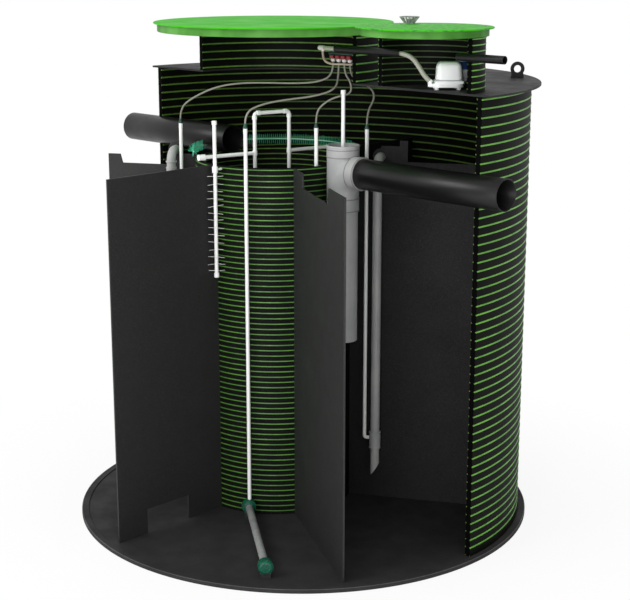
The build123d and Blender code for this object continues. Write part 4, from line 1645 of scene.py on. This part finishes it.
@dataclass
class Blower:
    """The blower: a rounded white body on a flanged, footed base, with a navy filter cover behind."""

    centre: Point = (0.905, 0.120, 2.378)
    bearing: float = 45.0
    body_size: tuple[float, float] = (0.130, 0.098)
    body_shift: float = -0.004
    body_foot: float = 0.0445
    body_top: float = 0.136
    body_round: float = 0.027
    waist: float = 0.92
    seam_height: float = 0.006
    seam_inset: float = 0.002
    seam_lap: float = 0.004
    lip_size: tuple[float, float] = (0.142, 0.108)
    lip_foot: float = 0.030
    lip_round: float = 0.006
    end_shift: float = -0.022
    end_start: float = 0.02
    cover_x: tuple[float, float] = (0.004, 0.096)
    cover_y: tuple[float, float] = (0.051, 0.087)
    cover_drop: float = 0.040
    cover_rise: float = 0.014
    cover_round: float = 0.010
    cover_taper: float = 0.94
    filter_x: tuple[float, float] = (0.006, 0.094)
    filter_y: tuple[float, float] = (0.052, 0.085)
    filter_foot: float = 0.0325
    filter_lap: float = 0.001
    filter_round: float = 0.008

    def _body(self, place: Matrix) -> None:
        """Build body, seam and lip.

        Args:
            place: the matrix from the blower's frame to the plant's.
        """
        length, depth = self.body_size
        foot = self.body_foot
        shift = self.body_shift
        levels = (foot + self.seam_lap, self.body_top)
        body = Box.centred(self.body_size, shift, levels, self.body_round, self.waist, segments=6)
        body.publish("blower_body", HOUSING_WHITE, Slot.HOUSING, place, ["blower_housing"])
        inset = self.seam_inset
        seam_size = (length - 2 * inset, depth - 2 * inset)
        joint = Box.centred(seam_size, shift, (foot, foot + self.seam_height), inset, segments=2)
        joint.publish("blower_seam", SEAM_GREY, Slot.HOUSING, place)
        lip = Box.centred(self.lip_size, shift, (self.lip_foot, foot), self.lip_round)
        lip.publish("blower_lip", HOUSING_WHITE, Slot.DARK_HOUSING, place)

    def _base(self, place: Matrix) -> None:
        """Build the base, drawn in at the end that the photograph shows short.

        Args:
            place: the matrix from the blower's frame to the plant's.
        """
        base = Piece("blower_base_shown", HOUSING_WHITE, Slot.DARK_HOUSING).copy_node("blower_base")
        back = place.inverted()
        shift = place.to_3x3() @ Vector((self.end_shift, 0.0, 0.0))
        for vert in base.mesh.verts:
            if (back @ vert.co).x > self.end_start:
                vert.co += shift
        base.publish(["blower_base"], bevel=0.002)

    def _filter(self, place: Matrix) -> None:
        """Build the filter's box and its cover.

        Args:
            place: the matrix from the blower's frame to the plant's.
        """
        low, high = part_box("blower_filter")
        top = high.z - self.centre[2] + self.cover_rise
        foot = top - self.cover_drop
        near, far = zip(self.cover_x, self.cover_y)
        cover = Box((*near, foot), (*far, top), self.cover_round, self.cover_taper, segments=4)
        cover.publish("blower_filter_cover", NAVY, Slot.FILTER, place, ["blower_filter"])
        near, far = zip(self.filter_x, self.filter_y)
        box = Box((*near, self.filter_foot), (*far, foot + self.filter_lap), self.filter_round)
        box.publish("blower_filter_box", FILTER_GREY, Slot.FILTER, place)

    def build(self) -> None:
        """Build the blower's pieces."""
        turn = Matrix.Rotation(math.radians(self.bearing), 4, "Z")
        place = Matrix.Translation(Vector(self.centre)) @ turn
        self._body(place)
        self._base(place)
        self._filter(place)


@dataclass
class Hose:
    """A soft tube laid on one smooth curve through given control points in millimetres."""

    name: str
    points: list[Point]
    diameter: float = 0.01
    finish: Plastic = TUBE
    stiffness: str = "limp"

    def build(self) -> None:
        """Lay the hose."""
        curve = bpy.data.curves.new(self.name, "CURVE")
        curve.dimensions = "3D"
        line = curve.splines.new("NURBS")
        line.points.add(len(self.points) - 1)
        for spot, place in zip(line.points, self.points):
            spot.co = (*(value * MM for value in place), 1.0)
        line.order_u = 3
        line.use_endpoint_u = True
        line.resolution_u = 12
        curve.bevel_depth = self.diameter / 2
        curve.bevel_resolution = 3
        curve.use_fill_caps = True
        curve.materials.append(coat_of(self.finish))
        made = bpy.data.objects.new(f"{self.name}_shown", curve)
        bpy.context.scene.collection.objects.link(made)
        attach(made, "root")
        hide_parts(self.name)


AIR_HOSES = (
    Hose(
        "air_hose_left_lift",
        [
            (199, 26, 2478),
            (199, 26, 2408),
            (122, -15, 2369),
            (-14, -68, 2359),
            (-152, -122, 2357),
            (-290, -178, 2351),
            (-425, -236, 2326),
            (-548, -294, 2265),
            (-621, -329, 2205),
            (-621, -329, 2145),
        ],
    ),
    Hose(
        "air_hose_diffuser",
        [
            (239, 26, 2478),
            (239, 26, 2412),
            (262, -20, 2340),
            (195, -120, 2308),
            (110, -232, 2294),
            (40, -330, 2275),
            (-2, -418, 2237),
            (-2, -418, 2177),
        ],
    ),
    Hose(
        "air_hose_reactor",
        [
            (279, 26, 2478),
            (279, 26, 2425),
            (308, 48, 2375),
            (306, 49, 2315),
            (235, 2, 2300),
            (185, -38, 2262),
            (159, -60, 2217),
            (159, -60, 2163),
        ],
    ),
    Hose(
        "air_hose_right_lift",
        [
            (319, 26, 2478),
            (319, 26, 2425),
            (326, 80, 2378),
            (348, 160, 2345),
            (352, 186, 2290),
            (287, 195, 2210),
            (287, 195, 2145),
        ],
    ),
)
BLOWER_HOSE = Hose(
    "blower_hose",
    [
        (836, 50, 2417),
        (812, 36, 2444),
        (783, 30, 2486),
        (748, 20, 2530),
        (700, 0, 2549),
        (600, 0, 2548),
        (430, 0.5, 2549.5),
        (265, 0, 2549),
        (160, 0, 2549),
    ],
    0.024,
    WIDE_TUBE,
    "stiff",
)
FEED_HOSE = Hose(
    "feed_hose",
    [
        (148, 0, 2532),
        (148, 0, 2500),
        (174, 0, 2474),
        (225, 4, 2468),
        (290, 12, 2472),
        (355.4, 12, 2472),
    ],
    0.012,
    FEED_TUBE,
    "stiff",
)


@dataclass
class Studio:
    """Camera, lamps and floor; angles in degrees, lens and sensor in millimetres, power in watts."""

    camera_place: Point = (5.4625, -5.4625, 3.0749)
    pitch: float = 13.873
    yaw: float = 0.4813
    lens: float = 82.35
    sensor: float = 36.0
    world_strength: float = 0.84
    key_place: Point = (-1.5, -6.5, 6.0)
    key_size: float = 3.5
    key_power: float = 225.0
    front_place: Point = (4.2, -6.2, 1.6)
    front_size: float = 3.0
    front_power: float = 175.0
    lamp_target: Point = (0.0, 0.0, 1.2)
    floor_half: float = 40.0

    def build(self) -> None:
        """Set the stage."""
        bpy.context.scene.view_settings.view_transform = "Standard"
        self._camera()
        self._world()
        self._lamp("key", self.key_place, self.key_size, self.key_power)
        self._lamp("front", self.front_place, self.front_size, self.front_power)
        self._floor()

    def _camera(self) -> None:
        """Set the camera, which looks along the diagonal and a little to one side of it."""
        data = bpy.data.cameras.new("camera")
        data.lens = self.lens
        data.sensor_width = self.sensor
        data.clip_start = 0.1
        data.clip_end = 200.0
        camera = bpy.data.objects.new("camera", data)
        bpy.context.scene.collection.objects.link(camera)
        bpy.context.scene.camera = camera
        camera.location = self.camera_place
        pitch = math.radians(self.pitch)
        yaw = math.radians(self.yaw)
        level = math.cos(pitch) / math.sqrt(2)
        heading = Vector(
            (
                (math.sin(yaw) - math.cos(yaw)) * level,
                (math.sin(yaw) + math.cos(yaw)) * level,
                -math.sin(pitch),
            )
        )
        camera.rotation_mode = "QUATERNION"
        camera.rotation_quaternion = heading.to_track_quat("-Z", "Y")

    def _world(self) -> None:
        """Make the surroundings white to the camera and even to the object."""
        world = bpy.data.worlds.new("surroundings")
        bpy.context.scene.world = world
        world.use_nodes = True
        graph = Graph(world.node_tree)
        seen = graph.node("ShaderNodeLightPath", {}, {}, "Is Camera Ray")
        soft = graph.node("ShaderNodeBackground", {}, {"Color": WHITE, "Strength": self.world_strength})
        white = graph.node("ShaderNodeBackground", {}, {"Color": WHITE, "Strength": 1.0})
        mixed = graph.node("ShaderNodeMixShader", {}, {0: seen, 1: soft, 2: white})
        graph.add("ShaderNodeOutputWorld", {}, {"Surface": mixed})

    def _lamp(self, name: str, place: Point, size: float, power: float) -> None:
        """Add a square lamp that faces the object.

        Args:
            name: the lamp's name.
            place: where it hangs.
            size: its side in metres.
            power: its power in watts.
        """
        data = bpy.data.lights.new(name, "AREA")
        data.energy = power
        data.size = size
        lamp = bpy.data.objects.new(name, data)
        bpy.context.scene.collection.objects.link(lamp)
        lamp.location = place
        lamp.rotation_mode = "QUATERNION"
        lamp.rotation_quaternion = (Vector(self.lamp_target) - Vector(place)).to_track_quat("-Z", "Y")

    def _floor(self) -> None:
        """Lay the pale floor."""
        mesh = bmesh.new()
        bmesh.ops.create_grid(mesh, x_segments=1, y_segments=1, size=self.floor_half)
        data = bpy.data.meshes.new("floor")
        mesh.to_mesh(data)
        mesh.free()
        floor = bpy.data.objects.new("floor", data)
        bpy.context.scene.collection.objects.link(floor)
        data.materials.append(coat_of(FLOOR))


def main() -> None:
    """Build every sub-assembly and the studio."""
    logging.basicConfig(level=logging.INFO, format="%(message)s")
    Studio().build()
    for hose in (*AIR_HOSES, BLOWER_HOSE, FEED_HOSE):
        hose.build()
    Tank().build()
    Neck("large_neck").build()
    # The small neck's inner seams take the painted-shade seam finish.
    Neck(
        "small_neck", seam_pitch=0.0296, first_rise=0.022, seam_height=0.0066, inner_finish=SEAM_NECK_PAINTED_SHADE
    ).build()
    for assembly in (
        Lids(),
        Reactor(),
        SewerPipes(),
        AirLifts(),
        AirPipes(),
        FinnedPipe(),
        Diffuser(),
        BrushRing(),
        Manifold(),
        Blower(),
    ):
        assembly.build()


if __name__ == "__main__":
    main()
